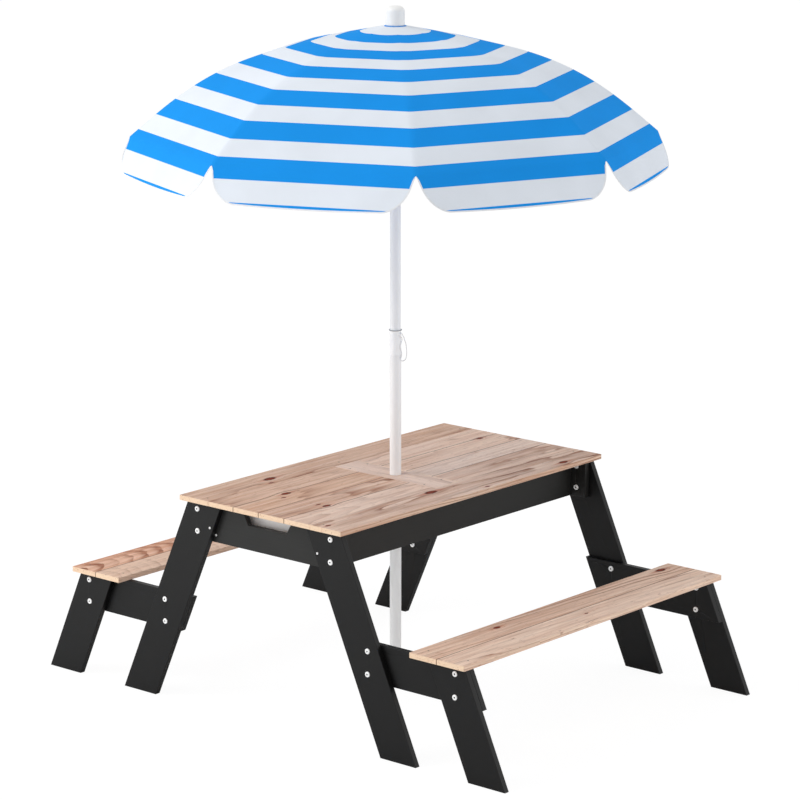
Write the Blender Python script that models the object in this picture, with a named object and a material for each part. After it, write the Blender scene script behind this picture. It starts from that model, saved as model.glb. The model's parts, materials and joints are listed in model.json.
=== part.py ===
"""Child's picnic table with two play bins under lift-off lids and a folding parasol.

Metres, +Z up. X runs along the benches, Y across them, and the origin is on the
ground at the middle of the table, on the axis of the parasol's pole.
"""
import math

import bmesh
import bpy
from mathutils import Matrix, Vector

# Clearances
contact_gap = 0.0003
running_gap = 0.0010

# Tabletop
table_height = 0.5000
top_thickness = 0.0114
top_overhang = 0.0145
top_width = 0.4916
opening_width = 0.3120
cross_board_width = 0.0780
corner_radius = 0.0020
corner_steps = 3
batten_width = 0.0300
batten_thickness = 0.0090
batten_length = 0.2500
batten_offset = 0.0950

# Benches
bench_height = 0.2664
bench_thickness = 0.0118
bench_overhang = 0.0171
bench_inner_edge = 0.4450
bench_outer_edge = 0.6000

# Frame boards
board = 0.0138
frame_half_length = 0.4523
leg_lean = 0.4461
leg_level_width = 0.1024
table_leg_head = 0.1807
bench_leg_shift = 0.0132
lower_bar_height = 0.0895
beam_height = 0.0906
beam_end_inset = 0.0019
notch_depth = 0.0333
notch_half_width_low = 0.0580
notch_half_width_high = 0.0765
apron_outer_face = 0.1870
ledge_thickness = 0.0250
ledge_height = 0.0800
bearer_half_width = 0.0450
bearer_thickness = 0.0240

# Bins
bin_lip_half_width = 0.1545
bin_end_gap = 0.0014
bin_lip_width = 0.0085
bin_draft = 0.0080
bin_lip_drop = 0.0018
bin_wall = 0.0020
bin_height = 0.0823
bin_corner = 0.0220

# Bolts and screws
bolt_sides = 12
bolt_head_radius = 0.0062
bolt_head_height = 0.0020
bolt_chamfer = 0.0009
bolt_socket_radius = 0.0021
bolt_socket_depth = 0.0012
bolt_shank_radius = 0.0030
upper_bolt_drops = (0.0163, 0.0683)
lower_bolt_drops = (0.0163, 0.0691)
upper_bolt_shift = 0.0034
inner_bolt_shift = 0.0068
outer_bolt_shift = 0.0057
screw_sides = 8
screw_head_radius = 0.0027
screw_head_height = 0.0026
screw_recess = 0.0006
screw_shank_radius = 0.0017
screw_point = 0.0050
screw_length = 0.0320
long_screw_length = 0.0460
bench_screw_offsets = (0.4680, 0.5790)
top_screw_offset = 0.1770
cross_screw_offset = (0.0305, 0.1140)
leg_screw_offset = 0.1642
leg_screw_drop = 0.0548
beam_screw_offset = 0.1580
beam_screw_drop = 0.0733

# Pole
pole_sides = 24
pole_radius = 0.0134
pole_bore = 0.0126
pole_top = 0.7840
foot_height = 0.0060
foot_spigot_length = 0.0300
upper_pole_radius = 0.0123
upper_pole_bore = 0.0114
upper_pole_overlap = 0.2640
upper_pole_drop = 0.0252
collar_height = 0.0600
collar_ring_height = 0.0026
collar_ring_radius = 0.0152
pole_hole_radius = 0.0140

# Locking clip of bent wire, in the radial plane that points to the front right
clip_azimuth = math.radians(-45)
clip_wire_radius = 0.0012
clip_shank_drop = 0.0140
clip_reach = 0.0258
clip_height = 0.0680
clip_leg_reach = 0.0182
clip_leg_rise = 0.0180
clip_bend = 0.0050

# Parasol
rib_count = 8
stripe_width = 0.0519
stripes_to_tip = 11.525
dome_start = 0.0241
dome_top = 1.5447
top_slope = math.radians(12.4)
eave_slope = math.radians(42.6)
bend_start_share = 0.226
bend_end_share = 0.954
dome_rows = 12
fabric_thickness = 0.0012
fabric_hole = 0.0075
fabric_seam = 0.0002
flap_slope = math.radians(66)
flap_length = 0.0920
flap_taper = 0.21
flap_corner_width = 0.0440
flap_corner_height = 0.0600
flap_corner_rows = 5
hinge_radius = 0.0180
hinge_drop = 0.0062
hub_radius = 0.0235
hub_sides = 32
crown_spigot_length = 0.0300
slot_width = 0.0038
crown_slot_floor = 0.0130
pivot_pin_radius = 0.0010
pivot_hole_radius = 0.0013
rib_width = 0.0032
rib_height = 0.0044
rib_clearance = 0.0012
rib_merge_radius = 0.0450
rib_inner_end = 0.0030
rib_tip_margin = 0.0060
rib_tip_share = 1.5
linkage_length = 0.2150
stretcher_height = 0.0040
fork_half_width = 0.0031
fork_depth = 0.0125
fork_neck = 0.0035
stretcher_nose = 0.0020
runner_height = 0.0300
runner_slot_floor = 0.0148

# Finial
finial_radius = 0.0215
finial_height = 0.0459
finial_neck_radius = 0.0200
finial_neck_height = 0.0015
finial_round = 0.0130
finial_crown_rise = 0.0012
finial_stud_radius = 0.0049
finial_stud_length = 0.0130
finial_hole_radius = 0.0052

# Derived levels
top_underside = table_height - top_thickness
frame_top = top_underside - contact_gap
top_length = 2 * (frame_half_length + top_overhang)
bench_length = 2 * (frame_half_length + bench_overhang)
bench_underside = bench_height - bench_thickness
bar_top = bench_underside - contact_gap
table_leg_foot = table_leg_head + leg_lean * frame_top
bench_leg_foot = (bench_inner_edge + bench_outer_edge) / 2 + bench_leg_shift + leg_lean * bar_top
inner_face = frame_half_length - board - contact_gap
rail_end = inner_face - board - contact_gap
apron_inner_face = apron_outer_face - board
ledge_outer_face = apron_inner_face - contact_gap
ledge_inner_face = ledge_outer_face - ledge_thickness
bin_lip_top = top_underside - bin_lip_drop
ledge_top = bin_lip_top - bin_wall - contact_gap
bin_inner_end = bearer_half_width + bin_end_gap
bin_outer_end = inner_face - board - bin_end_gap
lid_half_width = opening_width / 2 - running_gap
lid_start = cross_board_width / 2 + running_gap
bin_middle = (bin_inner_end + bin_outer_end) / 2
collar_top = pole_top + collar_height
upper_pole_foot = pole_top - upper_pole_overlap
upper_pole_top = dome_top - upper_pole_drop
clip_shank_height = pole_top - clip_shank_drop
clip_top = clip_shank_height + clip_height
clip_leg_end = clip_shank_height + clip_leg_rise
finial_top = dome_top + finial_height
ends = (("left", -1), ("right", 1))
sides = (("front", -1), ("back", 1))
rib_step = 2 * math.pi / rib_count
half_gore = math.pi / rib_count


# Tools

def clear_scene():
    for thing in list(bpy.data.objects):
        bpy.data.objects.remove(thing, do_unlink=True)


def linear(hex_colour):
    channels = [int(hex_colour[i:i + 2], 16) / 255 for i in (0, 2, 4)]
    return [c / 12.92 if c <= 0.04045 else ((c + 0.055) / 1.055) ** 2.4 for c in channels] + [1.0]


def material(name, hex_colour, roughness, metallic=0.0):
    made = bpy.data.materials.new(name)
    made.use_nodes = True
    shader = made.node_tree.nodes["Principled BSDF"]
    shader.inputs["Base Color"].default_value = linear(hex_colour)
    shader.inputs["Roughness"].default_value = roughness
    shader.inputs["Metallic"].default_value = metallic
    made.diffuse_color = linear(hex_colour)
    return made


def add(name, shape, finish, parent=None, place=None, smooth=False):
    """Link an object made from a bmesh or a finished mesh."""
    mesh = shape
    if isinstance(shape, bmesh.types.BMesh):
        bmesh.ops.recalc_face_normals(shape, faces=shape.faces)
        mesh = bpy.data.meshes.new(name)
        shape.to_mesh(mesh)
        shape.free()
    thing = bpy.data.objects.new(name, mesh)
    bpy.context.scene.collection.objects.link(thing)
    if finish and not mesh.materials:
        mesh.materials.append(finish)
    thing.parent = parent
    if place is not None:
        thing.matrix_local = place
    if smooth:
        mesh.shade_smooth()
        mesh.set_sharp_from_angle(angle=math.radians(35))
    return thing


def hook(name, place, parent=None):
    """Empty on a joint's axis that carries the pieces which move on it."""
    made = bpy.data.objects.new(name, None)
    bpy.context.scene.collection.objects.link(made)
    made.parent = parent
    made.matrix_local = place
    return made


def prism(shape, outline, plane, low, high):
    """Extrude a closed outline in plane 'xy', 'yz' or 'xz' between two levels."""
    def point(a, b, level):
        return {"xy": (a, b, level), "yz": (level, a, b), "xz": (a, level, b)}[plane]
    corners = [shape.verts.new(point(a, b, low)) for a, b in outline]
    base = shape.faces.new(corners)
    lifted = bmesh.ops.extrude_face_region(shape, geom=[base])["geom"]
    shift = Vector(point(0, 0, high)) - Vector(point(0, 0, low))
    bmesh.ops.translate(shape, vec=shift, verts=[v for v in lifted if isinstance(v, bmesh.types.BMVert)])
    return shape


def block(shape, x, y, z):
    """Box between the two values of each axis."""
    return prism(shape, [(x[0], y[0]), (x[1], y[0]), (x[1], y[1]), (x[0], y[1])], "xy", z[0], z[1])


def turned(shape, profile, steps, place=None, closed=False):
    """Turn a profile of (radius, height) points about Z into a closed body."""
    present = set(shape.verts)
    verts = [shape.verts.new((radius, 0, height)) for radius, height in profile]
    pairs = list(zip(verts, verts[1:] + verts[:1])) if closed else list(zip(verts, verts[1:]))
    edges = [shape.edges.new(pair) for pair in pairs]
    bmesh.ops.spin(shape, geom=verts + edges, cent=(0, 0, 0), axis=(0, 0, 1), dvec=(0, 0, 0),
                   angle=2 * math.pi, steps=steps, use_merge=True)
    fresh = [v for v in shape.verts if v not in present]
    if place is not None:
        bmesh.ops.transform(shape, matrix=place, verts=fresh)
    bmesh.ops.remove_doubles(shape, verts=fresh, dist=contact_gap / 10)
    return shape


def cut(thing, cutter_shape, operation="DIFFERENCE"):
    """Give an object a Boolean with a hidden cutter."""
    cutter = add(thing.name + "_cutter", cutter_shape, None, thing.parent, thing.matrix_basis.copy())
    cutter.hide_render = True
    cutter.display_type = "WIRE"
    step = thing.modifiers.new(operation.title(), "BOOLEAN")
    step.operation = operation
    step.solver = "EXACT"
    step.object = cutter
    return thing


def finished_mesh(thing):
    """Mesh with its modifiers applied, to share between repeated pieces."""
    bpy.context.view_layer.update()
    graph = bpy.context.evaluated_depsgraph_get()
    mesh = bpy.data.meshes.new_from_object(thing.evaluated_get(graph))
    for step in thing.modifiers:
        bpy.data.objects.remove(step.object, do_unlink=True)
    bpy.data.objects.remove(thing, do_unlink=True)
    return mesh


def along_x(x, y, z, sign=1):
    """Placement that turns a piece modelled up +Z to point along X."""
    return Matrix.Translation((x, y, z)) @ Matrix.Rotation(sign * math.pi / 2, 4, "Y")


def rounded_outline(x, y, radius, rounded=((1, 1), (-1, 1), (-1, -1), (1, -1))):
    """Rectangle whose listed corners, given as (x sign, y sign), are rounded."""
    centre = Vector(((x[0] + x[1]) / 2, (y[0] + y[1]) / 2))
    half = Vector(((x[1] - x[0]) / 2, (y[1] - y[0]) / 2))
    points = []
    for quarter, (sx, sy) in enumerate(((1, 1), (-1, 1), (-1, -1), (1, -1))):
        if (sx, sy) not in rounded:
            points.append((centre.x + sx * half.x, centre.y + sy * half.y))
            continue
        for k in range(corner_steps + 1):
            angle = (quarter + k / corner_steps) * math.pi / 2
            points.append((centre.x + sx * (half.x - radius) + radius * math.cos(angle),
                           centre.y + sy * (half.y - radius) + radius * math.sin(angle)))
    return points


# Fastenings

def bolt_places():
    """Centres (y, z) of the bolts on one side of an end frame, with the leg that carries each."""
    places = []
    for leg, foot, shift, top, drops in (("table_leg", table_leg_foot, upper_bolt_shift, frame_top, upper_bolt_drops),
                                         ("table_leg", table_leg_foot, inner_bolt_shift, bar_top, lower_bolt_drops),
                                         ("bench_leg", bench_leg_foot, outer_bolt_shift, bar_top, lower_bolt_drops)):
        middle = foot - leg_lean * (top - sum(drops) / 2)
        places += [(leg, middle + shift, top - drop) for drop in drops]
    return places


def bolt_profile():
    """Socket bolt with a flanged sleeve nut, from the outer head inwards."""
    head = bolt_head_radius
    shank = bolt_shank_radius
    rim = head - bolt_chamfer
    socket = bolt_socket_radius
    out = -bolt_head_height
    seat = 2 * board + 2 * contact_gap
    end = seat + bolt_head_height
    return [(0, out + bolt_socket_depth), (socket, out + bolt_socket_depth), (socket, out), (rim, out),
            (head, out + bolt_chamfer), (head, contact_gap), (shank, contact_gap), (shank, seat),
            (head, seat), (head, end - bolt_chamfer), (rim, end), (0, end)]


def shank_profile(length):
    """Buried part of a wood screw that is driven down from height zero."""
    start = -screw_head_height
    return [(0, start), (screw_shank_radius, start), (screw_shank_radius, screw_point - length), (0, -length)]


def pan_profile(length):
    """Pan-head screw with its head on the face at height zero."""
    dome = screw_head_radius - bolt_chamfer
    top = screw_head_height / 2
    return [(0, top), (dome, top), (screw_head_radius, top / 2), (screw_head_radius, -contact_gap),
            (screw_shank_radius, -contact_gap), (screw_shank_radius, screw_point - length), (0, -length)]


def bored(radius, low, high):
    return [(0, low), (radius, low), (radius, high), (0, high)]


def fastenings():
    """Every bolt and screw: owner, ends of its shank, placement, body, hole in its neighbours, recess."""
    found = []
    bolt_hole = bored(bolt_shank_radius + contact_gap, -board, 3 * board)
    play = screw_shank_radius + contact_gap
    recess = bored(screw_head_radius, -screw_recess, contact_gap)
    for _, end in ends:
        for _, side in sides:
            for owner, y, z in bolt_places():
                xs = (end * frame_half_length, end * rail_end)
                place = along_x(end * frame_half_length, side * y, z, -end)
                found.append((owner, xs, (side * y, side * y), (z, z), place, bolt_profile(), bolt_hole, None))
            for owner, x, y, drop, length in (
                    ("table_leg", frame_half_length, leg_screw_offset, leg_screw_drop, long_screw_length),
                    ("end_beam", inner_face, beam_screw_offset, beam_screw_drop, screw_length)):
                z = frame_top - drop
                hole = bored(play, -length - contact_gap, contact_gap)
                found.append((owner, (end * x, end * (x - length)), (side * y, side * y), (z, z),
                              along_x(end * x, side * y, z, end), pan_profile(length), hole, None))
            tops = [("bench", end * (inner_face - board / 2), offset, bench_height) for offset in bench_screw_offsets]
            tops.append(("top_board", end * (frame_half_length - board / 2), top_screw_offset, table_height))
            tops.append(("cross_board", end * cross_screw_offset[0], cross_screw_offset[1], table_height))
            if end > 0:
                tops.append(("top_board", 0, top_screw_offset, table_height))
            for owner, x, y, z in tops:
                hole = bored(play, -screw_length - contact_gap, contact_gap)
                found.append((owner, (x, x), (side * y, side * y), (z, z - screw_length),
                              Matrix.Translation((x, side * y, z)), shank_profile(screw_length), hole, recess))
    return found


def fastened(thing):
    """Give a board its own bolts and screws, and holes for those of its neighbours."""
    corners = [v.co for v in thing.data.vertices]
    spans = [(min(c[i] for c in corners), max(c[i] for c in corners)) for i in range(3)]
    shapes = {"holes": bmesh.new(), "own": bmesh.new()}
    for owner, x, y, z, place, body, hole, recess in fastenings():
        if not all(min(reach) < high and max(reach) > low for reach, (low, high) in zip((x, y, z), spans)):
            continue
        sides_of = bolt_sides if owner.endswith("leg") and hole[1][0] > bolt_shank_radius else screw_sides
        if thing.name.startswith(owner):
            turned(shapes["own"], body, sides_of, place)
            if recess:
                turned(shapes["holes"], recess, sides_of, place)
        else:
            turned(shapes["holes"], hole, sides_of, place)
    for key, operation in (("holes", "DIFFERENCE"), ("own", "UNION")):
        if shapes[key].verts:
            cut(thing, shapes[key], operation)
    return thing


def make_board(name, outline, plane, low, high, finish):
    """Board from an outline, with the fastenings within its box."""
    return fastened(add(name, prism(bmesh.new(), outline, plane, low, high), finish))


# End frames

def leg_outline(foot, top, side):
    half = leg_level_width / 2
    shift = leg_lean * top
    return [(side * (foot - half), 0), (side * (foot + half), 0),
            (side * (foot + half - shift), top), (side * (foot - half - shift), top)]


def make_legs(finish):
    for end_name, end in ends:
        low, high = sorted((end * (frame_half_length - board), end * frame_half_length))
        for side_name, side in sides:
            place = side_name + "_" + end_name
            make_board("table_leg_" + place, leg_outline(table_leg_foot, frame_top, side), "yz", low, high, finish)
            make_board("bench_leg_" + place, leg_outline(bench_leg_foot, bar_top, side), "yz", low, high, finish)


def make_lower_bars(finish):
    """Bars between a table leg and its bench leg, cut to the legs' slant."""
    half = leg_level_width / 2
    bottom = bar_top - lower_bar_height
    for end_name, end in ends:
        low, high = sorted((end * (inner_face - board), end * inner_face))
        for side_name, side in sides:
            outline = []
            for foot, sign, order in ((table_leg_foot, -1, (bottom, bar_top)), (bench_leg_foot, 1, (bar_top, bottom))):
                outline += [(side * (foot + sign * half - leg_lean * z), z) for z in order]
            make_board("lower_bar_" + side_name + "_" + end_name, outline, "yz", low, high, finish)


def make_end_beams(finish):
    """Beams under the ends of the top, notched for the fingers below each lid."""
    end_at = table_leg_foot + leg_level_width / 2 - leg_lean * frame_top - beam_end_inset
    half = [(end_at, frame_top - beam_height), (end_at, frame_top),
            (notch_half_width_high, frame_top), (notch_half_width_low, frame_top - notch_depth)]
    outline = half + [(-y, z) for y, z in reversed(half)]
    for end_name, end in ends:
        low, high = sorted((end * (inner_face - board), end * inner_face))
        make_board("end_beam_" + end_name, outline, "yz", low, high, finish)


def long_board(name, inner, outer, side, bottom, top, finish):
    """Board that runs from end beam to end beam."""
    y = sorted((side * inner, side * outer))
    return fastened(add(name, block(bmesh.new(), (-rail_end, rail_end), y, (bottom, top)), finish))


def make_rails(finish):
    """Aprons under the top's edges, and the ledges inside them that carry the bins' lips."""
    for side_name, side in sides:
        long_board("apron_" + side_name, apron_inner_face, apron_outer_face, side,
                   frame_top - beam_height, frame_top, finish)
        long_board("bin_ledge_" + side_name, ledge_inner_face, ledge_outer_face, side,
                   ledge_top - ledge_height, ledge_top, finish)


def make_bearer(finish):
    """Flat board under the cross board, which also carries the inner ends of the lids."""
    half = ledge_inner_face - contact_gap
    thing = add("cross_bearer", block(bmesh.new(), (-bearer_half_width, bearer_half_width), (-half, half),
                                      (frame_top - bearer_thickness, frame_top)), finish)
    return cut(fastened(thing), pole_hole())


def pole_hole():
    return turned(bmesh.new(), bored(pole_hole_radius, top_underside - 3 * board, table_height + board), pole_sides)


# Tabletop and benches

def make_top_boards(finish):
    for side_name, side in sides:
        y = sorted((side * opening_width / 2, side * top_width / 2))
        outline = rounded_outline((-top_length / 2, top_length / 2), y, corner_radius, ((1, side), (-1, side)))
        make_board("top_board_" + side_name, outline, "xy", top_underside, table_height, finish)


def make_cross_board(finish):
    half = cross_board_width / 2
    outline = [(-half, -lid_half_width), (half, -lid_half_width), (half, lid_half_width), (-half, lid_half_width)]
    return cut(make_board("cross_board", outline, "xy", top_underside, table_height, finish), pole_hole())


def make_lids(finish, hooks):
    """Lift-off lids, each a glued panel on two battens that locate it in its bin."""
    for end_name, end in ends:
        near, far = lid_start - bin_middle, top_length / 2 - bin_middle
        panel = block(bmesh.new(), sorted((end * near, end * far)), (-lid_half_width, lid_half_width),
                      (top_underside, table_height))
        lid = add("lid_" + end_name, panel, finish, hooks[end_name])
        battens = bmesh.new()
        for x in (-batten_offset, batten_offset):
            block(battens, (x - batten_width / 2, x + batten_width / 2), (-batten_length / 2, batten_length / 2),
                  (top_underside - batten_thickness, top_underside + top_thickness / 2))
        cut(lid, battens, "UNION")


def make_benches(finish):
    for side_name, side in sides:
        y = sorted((side * bench_inner_edge, side * bench_outer_edge))
        outline = rounded_outline((-bench_length / 2, bench_length / 2), y, corner_radius)
        make_board("bench_" + side_name, outline, "xy", bench_underside, bench_height, finish)


# Bins

def bridge_rings(shape, rings):
    """Skin from ring to ring, with a cap on the first and the last."""
    loops = [[shape.verts.new(point) for point in ring] for ring in rings]
    for one, two in zip(loops, loops[1:]):
        for k in range(len(one)):
            after = (k + 1) % len(one)
            shape.faces.new((one[k], one[after], two[after], two[k]))
    shape.faces.new(list(reversed(loops[0])))
    shape.faces.new(loops[-1])
    return shape


def make_bins(finish, hooks):
    """Deep trays with a drawn-out lip, drafted walls and round corners."""
    half_x = (bin_outer_end - bin_inner_end) / 2
    floor = bin_lip_top - bin_height
    under_lip = bin_lip_top - bin_wall
    body_x, body_y = half_x - bin_lip_width, bin_lip_half_width - bin_lip_width
    foot = bin_wall * 2
    sections = ((body_x - bin_draft - foot, body_y - bin_draft - foot, floor),
                (body_x - bin_draft, body_y - bin_draft, floor + foot),
                (body_x, body_y, under_lip),
                (half_x, bin_lip_half_width, under_lip),
                (half_x, bin_lip_half_width, bin_lip_top),
                (body_x - bin_wall, body_y - bin_wall, bin_lip_top),
                (body_x - bin_draft - bin_wall, body_y - bin_draft - bin_wall, floor + foot + bin_wall),
                (body_x - bin_draft - foot - bin_wall, body_y - bin_draft - foot - bin_wall, floor + bin_wall))
    for end_name, _ in ends:
        rings = []
        for x, y, z in sections:
            rings.append([(px, py, z) for px, py in rounded_outline((-x, x), (-y, y), bin_corner)])
        add("bin_" + end_name, bridge_rings(bmesh.new(), rings), finish, hooks[end_name], smooth=True)


# Pole

def tube(bottom, top, outer, inner):
    return turned(bmesh.new(), [(inner, bottom), (outer, bottom), (outer, top), (inner, top)], pole_sides, closed=True)


def clip_direction():
    return Matrix.Rotation(clip_azimuth, 4, "Z")


def make_pole(white, grey, pole_hook, collar_hook, upper_hook):
    foot_profile = [(0, 0), (pole_radius, 0), (pole_radius, foot_height),
                    (pole_bore - contact_gap, foot_height), (pole_bore - contact_gap, foot_height + foot_spigot_length),
                    (0, foot_height + foot_spigot_length)]
    add("pole_foot", turned(bmesh.new(), foot_profile, pole_sides), grey, pole_hook, smooth=True)
    lower = add("pole_lower", tube(foot_height + contact_gap, pole_top, pole_radius, pole_bore), white,
                pole_hook, smooth=True)
    radius = clip_wire_radius + contact_gap
    place = clip_direction() @ along_x(0, 0, clip_shank_height)
    cut(lower, turned(bmesh.new(), bored(radius, 0, clip_reach), bolt_sides, place))
    add("pole_upper", tube(upper_pole_foot, upper_pole_top, upper_pole_radius, upper_pole_bore), white,
        upper_hook, smooth=True)
    seat = pole_top + contact_gap
    ring_low = collar_top - collar_ring_height
    collar = [(pole_bore, seat), (pole_radius, seat), (pole_radius, ring_low), (collar_ring_radius, ring_low),
              (collar_ring_radius, collar_top), (pole_bore, collar_top)]
    add("pole_collar", turned(bmesh.new(), collar, pole_sides, closed=True), white, collar_hook, smooth=True)


def clip_route():
    """Wire's centre line as (radius, height): shank, outer bow, hairpin at the collar, spring leg."""
    touch = pole_radius + clip_wire_radius + contact_gap
    shank_tip = upper_pole_radius + contact_gap
    corners = [(shank_tip, clip_shank_height), (clip_reach, clip_shank_height), (clip_reach, clip_top - 2 * clip_bend),
               (clip_leg_reach + clip_bend / 2, clip_top), (touch, clip_top), (touch, clip_top - 2 * clip_bend),
               (clip_leg_reach, clip_top - 4 * clip_bend), (clip_leg_reach, clip_leg_end)]
    points = [Vector(corners[0])]
    steps = 4
    for before, at, after in zip(corners, corners[1:], corners[2:]):
        before, at, after = Vector(before), Vector(at), Vector(after)
        reach = min(clip_bend, (at - before).length / 2, (after - at).length / 2)
        start = at + (before - at).normalized() * reach
        stop = at + (after - at).normalized() * reach
        for k in range(steps + 1):
            share = k / steps
            points.append(start.lerp(at, share).lerp(at.lerp(stop, share), share))
    points.append(Vector(corners[-1]))
    kept = [points[0]]
    for point in points[1:]:
        if (point - kept[-1]).length > clip_wire_radius / 4:
            kept.append(point)
    return kept


def make_clip(finish, clip_hook):
    curve = bpy.data.curves.new("locking_clip", "CURVE")
    curve.dimensions = "3D"
    curve.bevel_depth = clip_wire_radius
    curve.bevel_resolution = 1
    curve.use_fill_caps = True
    spline = curve.splines.new("POLY")
    route = clip_route()
    spline.points.add(len(route) - 1)
    turn = clip_hook.matrix_basis.inverted() @ clip_direction()
    for point, at in zip(spline.points, route):
        point.co = (turn @ Vector((at.x, 0, at.y))).to_4d()
    curve.materials.append(finish)
    thing = bpy.data.objects.new("locking_clip", curve)
    bpy.context.scene.collection.objects.link(thing)
    thing.parent = clip_hook
    return thing


# Canopy

def slope_at(distance):
    """Slope of a gore's middle line, in radians, at a distance from its inner end."""
    length = stripes_to_tip * stripe_width
    share = (distance / length - bend_start_share) / (bend_end_share - bend_start_share)
    share = min(max(share, 0), 1)
    return top_slope + (eave_slope - top_slope) * share * share * (3 - 2 * share)


def dome_line():
    """Points (inner radius, height, slope) down a gore's middle line, from the crown to the ribs' tips."""
    length = stripes_to_tip * stripe_width
    fine = 8
    step = length / (dome_rows * fine)
    radius, height = dome_start, dome_top
    points = [(radius, height, slope_at(0))]
    for k in range(dome_rows * fine):
        slope = slope_at((k + 0.5) * step)
        radius += step * math.cos(slope)
        height -= step * math.sin(slope)
        if (k + 1) % fine == 0:
            points.append((radius, height, slope_at((k + 1) * step)))
    return points


def flap_rows():
    """Rows (distance past the ribs' tips, inset of the flap's edge) down to the hem."""
    straight = flap_length - flap_corner_height
    rows = [(straight, flap_taper * straight)]
    for k in range(1, flap_corner_rows + 1):
        angle = k / flap_corner_rows * math.pi / 2
        fall = straight + flap_corner_height * math.sin(angle)
        rows.append((fall, flap_taper * fall + flap_corner_width * (1 - math.cos(angle))))
    return rows


def canopy_sector():
    """Fabric carried by one rib, from mid gore to mid gore, with the rib along +X."""
    shape = bmesh.new()
    inner = fabric_hole
    line = [(inner, dome_top)] + [(radius, height) for radius, height, _ in dome_line()]

    def place(side, radius, inset, height):
        """Point of a half gore: radius along its middle line, inset from its rib."""
        across = radius * math.tan(half_gore) - inset
        middle = side * half_gore
        return (radius * math.cos(middle) + side * across * math.sin(middle),
                radius * math.sin(middle) - side * across * math.cos(middle), height)

    def seam(side, radius, height):
        return place(side, radius, radius * math.tan(half_gore) - fabric_seam, height)

    ridge = [shape.verts.new((radius / math.cos(half_gore), 0, height)) for radius, height in line]
    tip_radius, tip_height = line[-1]
    for side in (-1, 1):
        edge = list(ridge)
        middle = [shape.verts.new(seam(side, radius, height)) for radius, height in line]
        for distance, inset in flap_rows():
            radius = tip_radius + distance * math.cos(flap_slope)
            height = tip_height - distance * math.sin(flap_slope)
            spread = (radius - tip_radius) * math.tan(half_gore)
            edge.append(shape.verts.new(place(side, radius, inset + spread, height)))
            middle.append(shape.verts.new(seam(side, radius, height)))
        for k in range(len(edge) - 1):
            corners = [edge[k], edge[k + 1], middle[k + 1], middle[k]]
            shape.faces.new(corners if side > 0 else corners[::-1])
    return shape


def make_canopy(blue, rib_hooks):
    pattern = add("canopy_pattern", canopy_sector(), blue)
    upward = sum(face.normal.z * face.area for face in pattern.data.polygons)
    pattern.modifiers.new("Thickness", "SOLIDIFY")
    thicken = pattern.modifiers["Thickness"]
    thicken.thickness = fabric_thickness
    thicken.offset = -1 if upward > 0 else 1
    thicken.use_even_offset = True
    bpy.context.view_layer.update()
    graph = bpy.context.evaluated_depsgraph_get()
    mesh = bpy.data.meshes.new_from_object(pattern.evaluated_get(graph))
    bpy.data.objects.remove(pattern, do_unlink=True)
    mesh.transform(Matrix.Translation((-hinge_radius, 0, -hinge_level())))
    for k in range(rib_count):
        add("canopy_" + str(k + 1), mesh, blue, rib_hooks[k])


# Ribs, stretchers, crown and runner

def hinge_level():
    return dome_top - hinge_drop


def rib_line():
    """Centre line of a rib as (radius, height), under the ridge between two gores."""
    drop = fabric_thickness + rib_clearance + rib_height / 2
    points = [(hinge_radius - rib_inner_end, hinge_level()), (hinge_radius + rib_inner_end, hinge_level())]
    for radius, height, slope in dome_line():
        ridge = radius / math.cos(half_gore)
        fall = math.atan(math.tan(slope) * math.cos(half_gore))
        if ridge > rib_merge_radius:
            points.append((ridge - drop * math.sin(fall), height - drop * math.cos(fall)))
    last, before = Vector(points[-1]), Vector(points[-2])
    inward = (before - last).normalized()
    points[-1] = tuple(last + inward * rib_tip_margin)
    return points


def linkage():
    """Angle below level of the line from the hinge to the stretcher's pivot, and the pivot itself."""
    hinge = Vector((hinge_radius, hinge_level()))
    line = [Vector(point) for point in rib_line()]
    for one, two in zip(line, line[1:]):
        if (one - hinge).length < linkage_length <= (two - hinge).length:
            low, high = 0.0, 1.0
            for _ in range(40):
                share = (low + high) / 2
                if (one.lerp(two, share) - hinge).length < linkage_length:
                    low = share
                else:
                    high = share
            pivot = one.lerp(two, low)
            return math.atan2(hinge.y - pivot.y, pivot.x - hinge.x), pivot
    raise ValueError("the linkage is longer than the rib")


def cross_pins(shape, places, radius, half_length):
    """Cylinders along Y at (x, z) places."""
    for x, z in places:
        place = Matrix.Translation((x, 0, z)) @ Matrix.Rotation(math.pi / 2, 4, "X")
        turned(shape, bored(radius, -half_length, half_length), screw_sides, place)
    return shape


def rib_mesh(finish):
    """Flat steel rib with a swollen tip, its origin on the crown's hinge."""
    line = [Vector((radius - hinge_radius, height - hinge_level())) for radius, height in rib_line()]
    end_direction = (line[-1] - line[-2]).normalized()
    shape = bmesh.new()
    swell = rib_height * rib_tip_share
    stations = [(point, rib_width / 2, rib_height / 2) for point in line[:-1]]
    stations.append((line[-1] - end_direction * 2 * swell, rib_width / 2, rib_height / 2))
    stations.append((line[-1] - end_direction * swell, swell / 2, rib_height / 2))
    stations.append((line[-1], swell / 2, rib_height / 2))
    rings = []
    for k, (at, half_width, half_height) in enumerate(stations):
        before = stations[max(k - 1, 0)][0]
        after = stations[min(k + 1, len(stations) - 1)][0]
        along = (after - before).normalized()
        up = Vector((-along.y, along.x))
        ring = []
        for across, lift in ((-1, -1), (1, -1), (1, 1), (-1, 1)):
            spot = at + up * lift * half_height
            ring.append((spot.x, across * half_width, spot.y))
        rings.append(ring)
    rib = add("rib_pattern", bridge_rings(shape, rings), finish)
    _, pivot = linkage()
    places = [(0, 0), (pivot.x - hinge_radius, pivot.y - hinge_level())]
    cut(rib, cross_pins(bmesh.new(), places, pivot_hole_radius, 2 * rib_width))
    return finished_mesh(rib)


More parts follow.
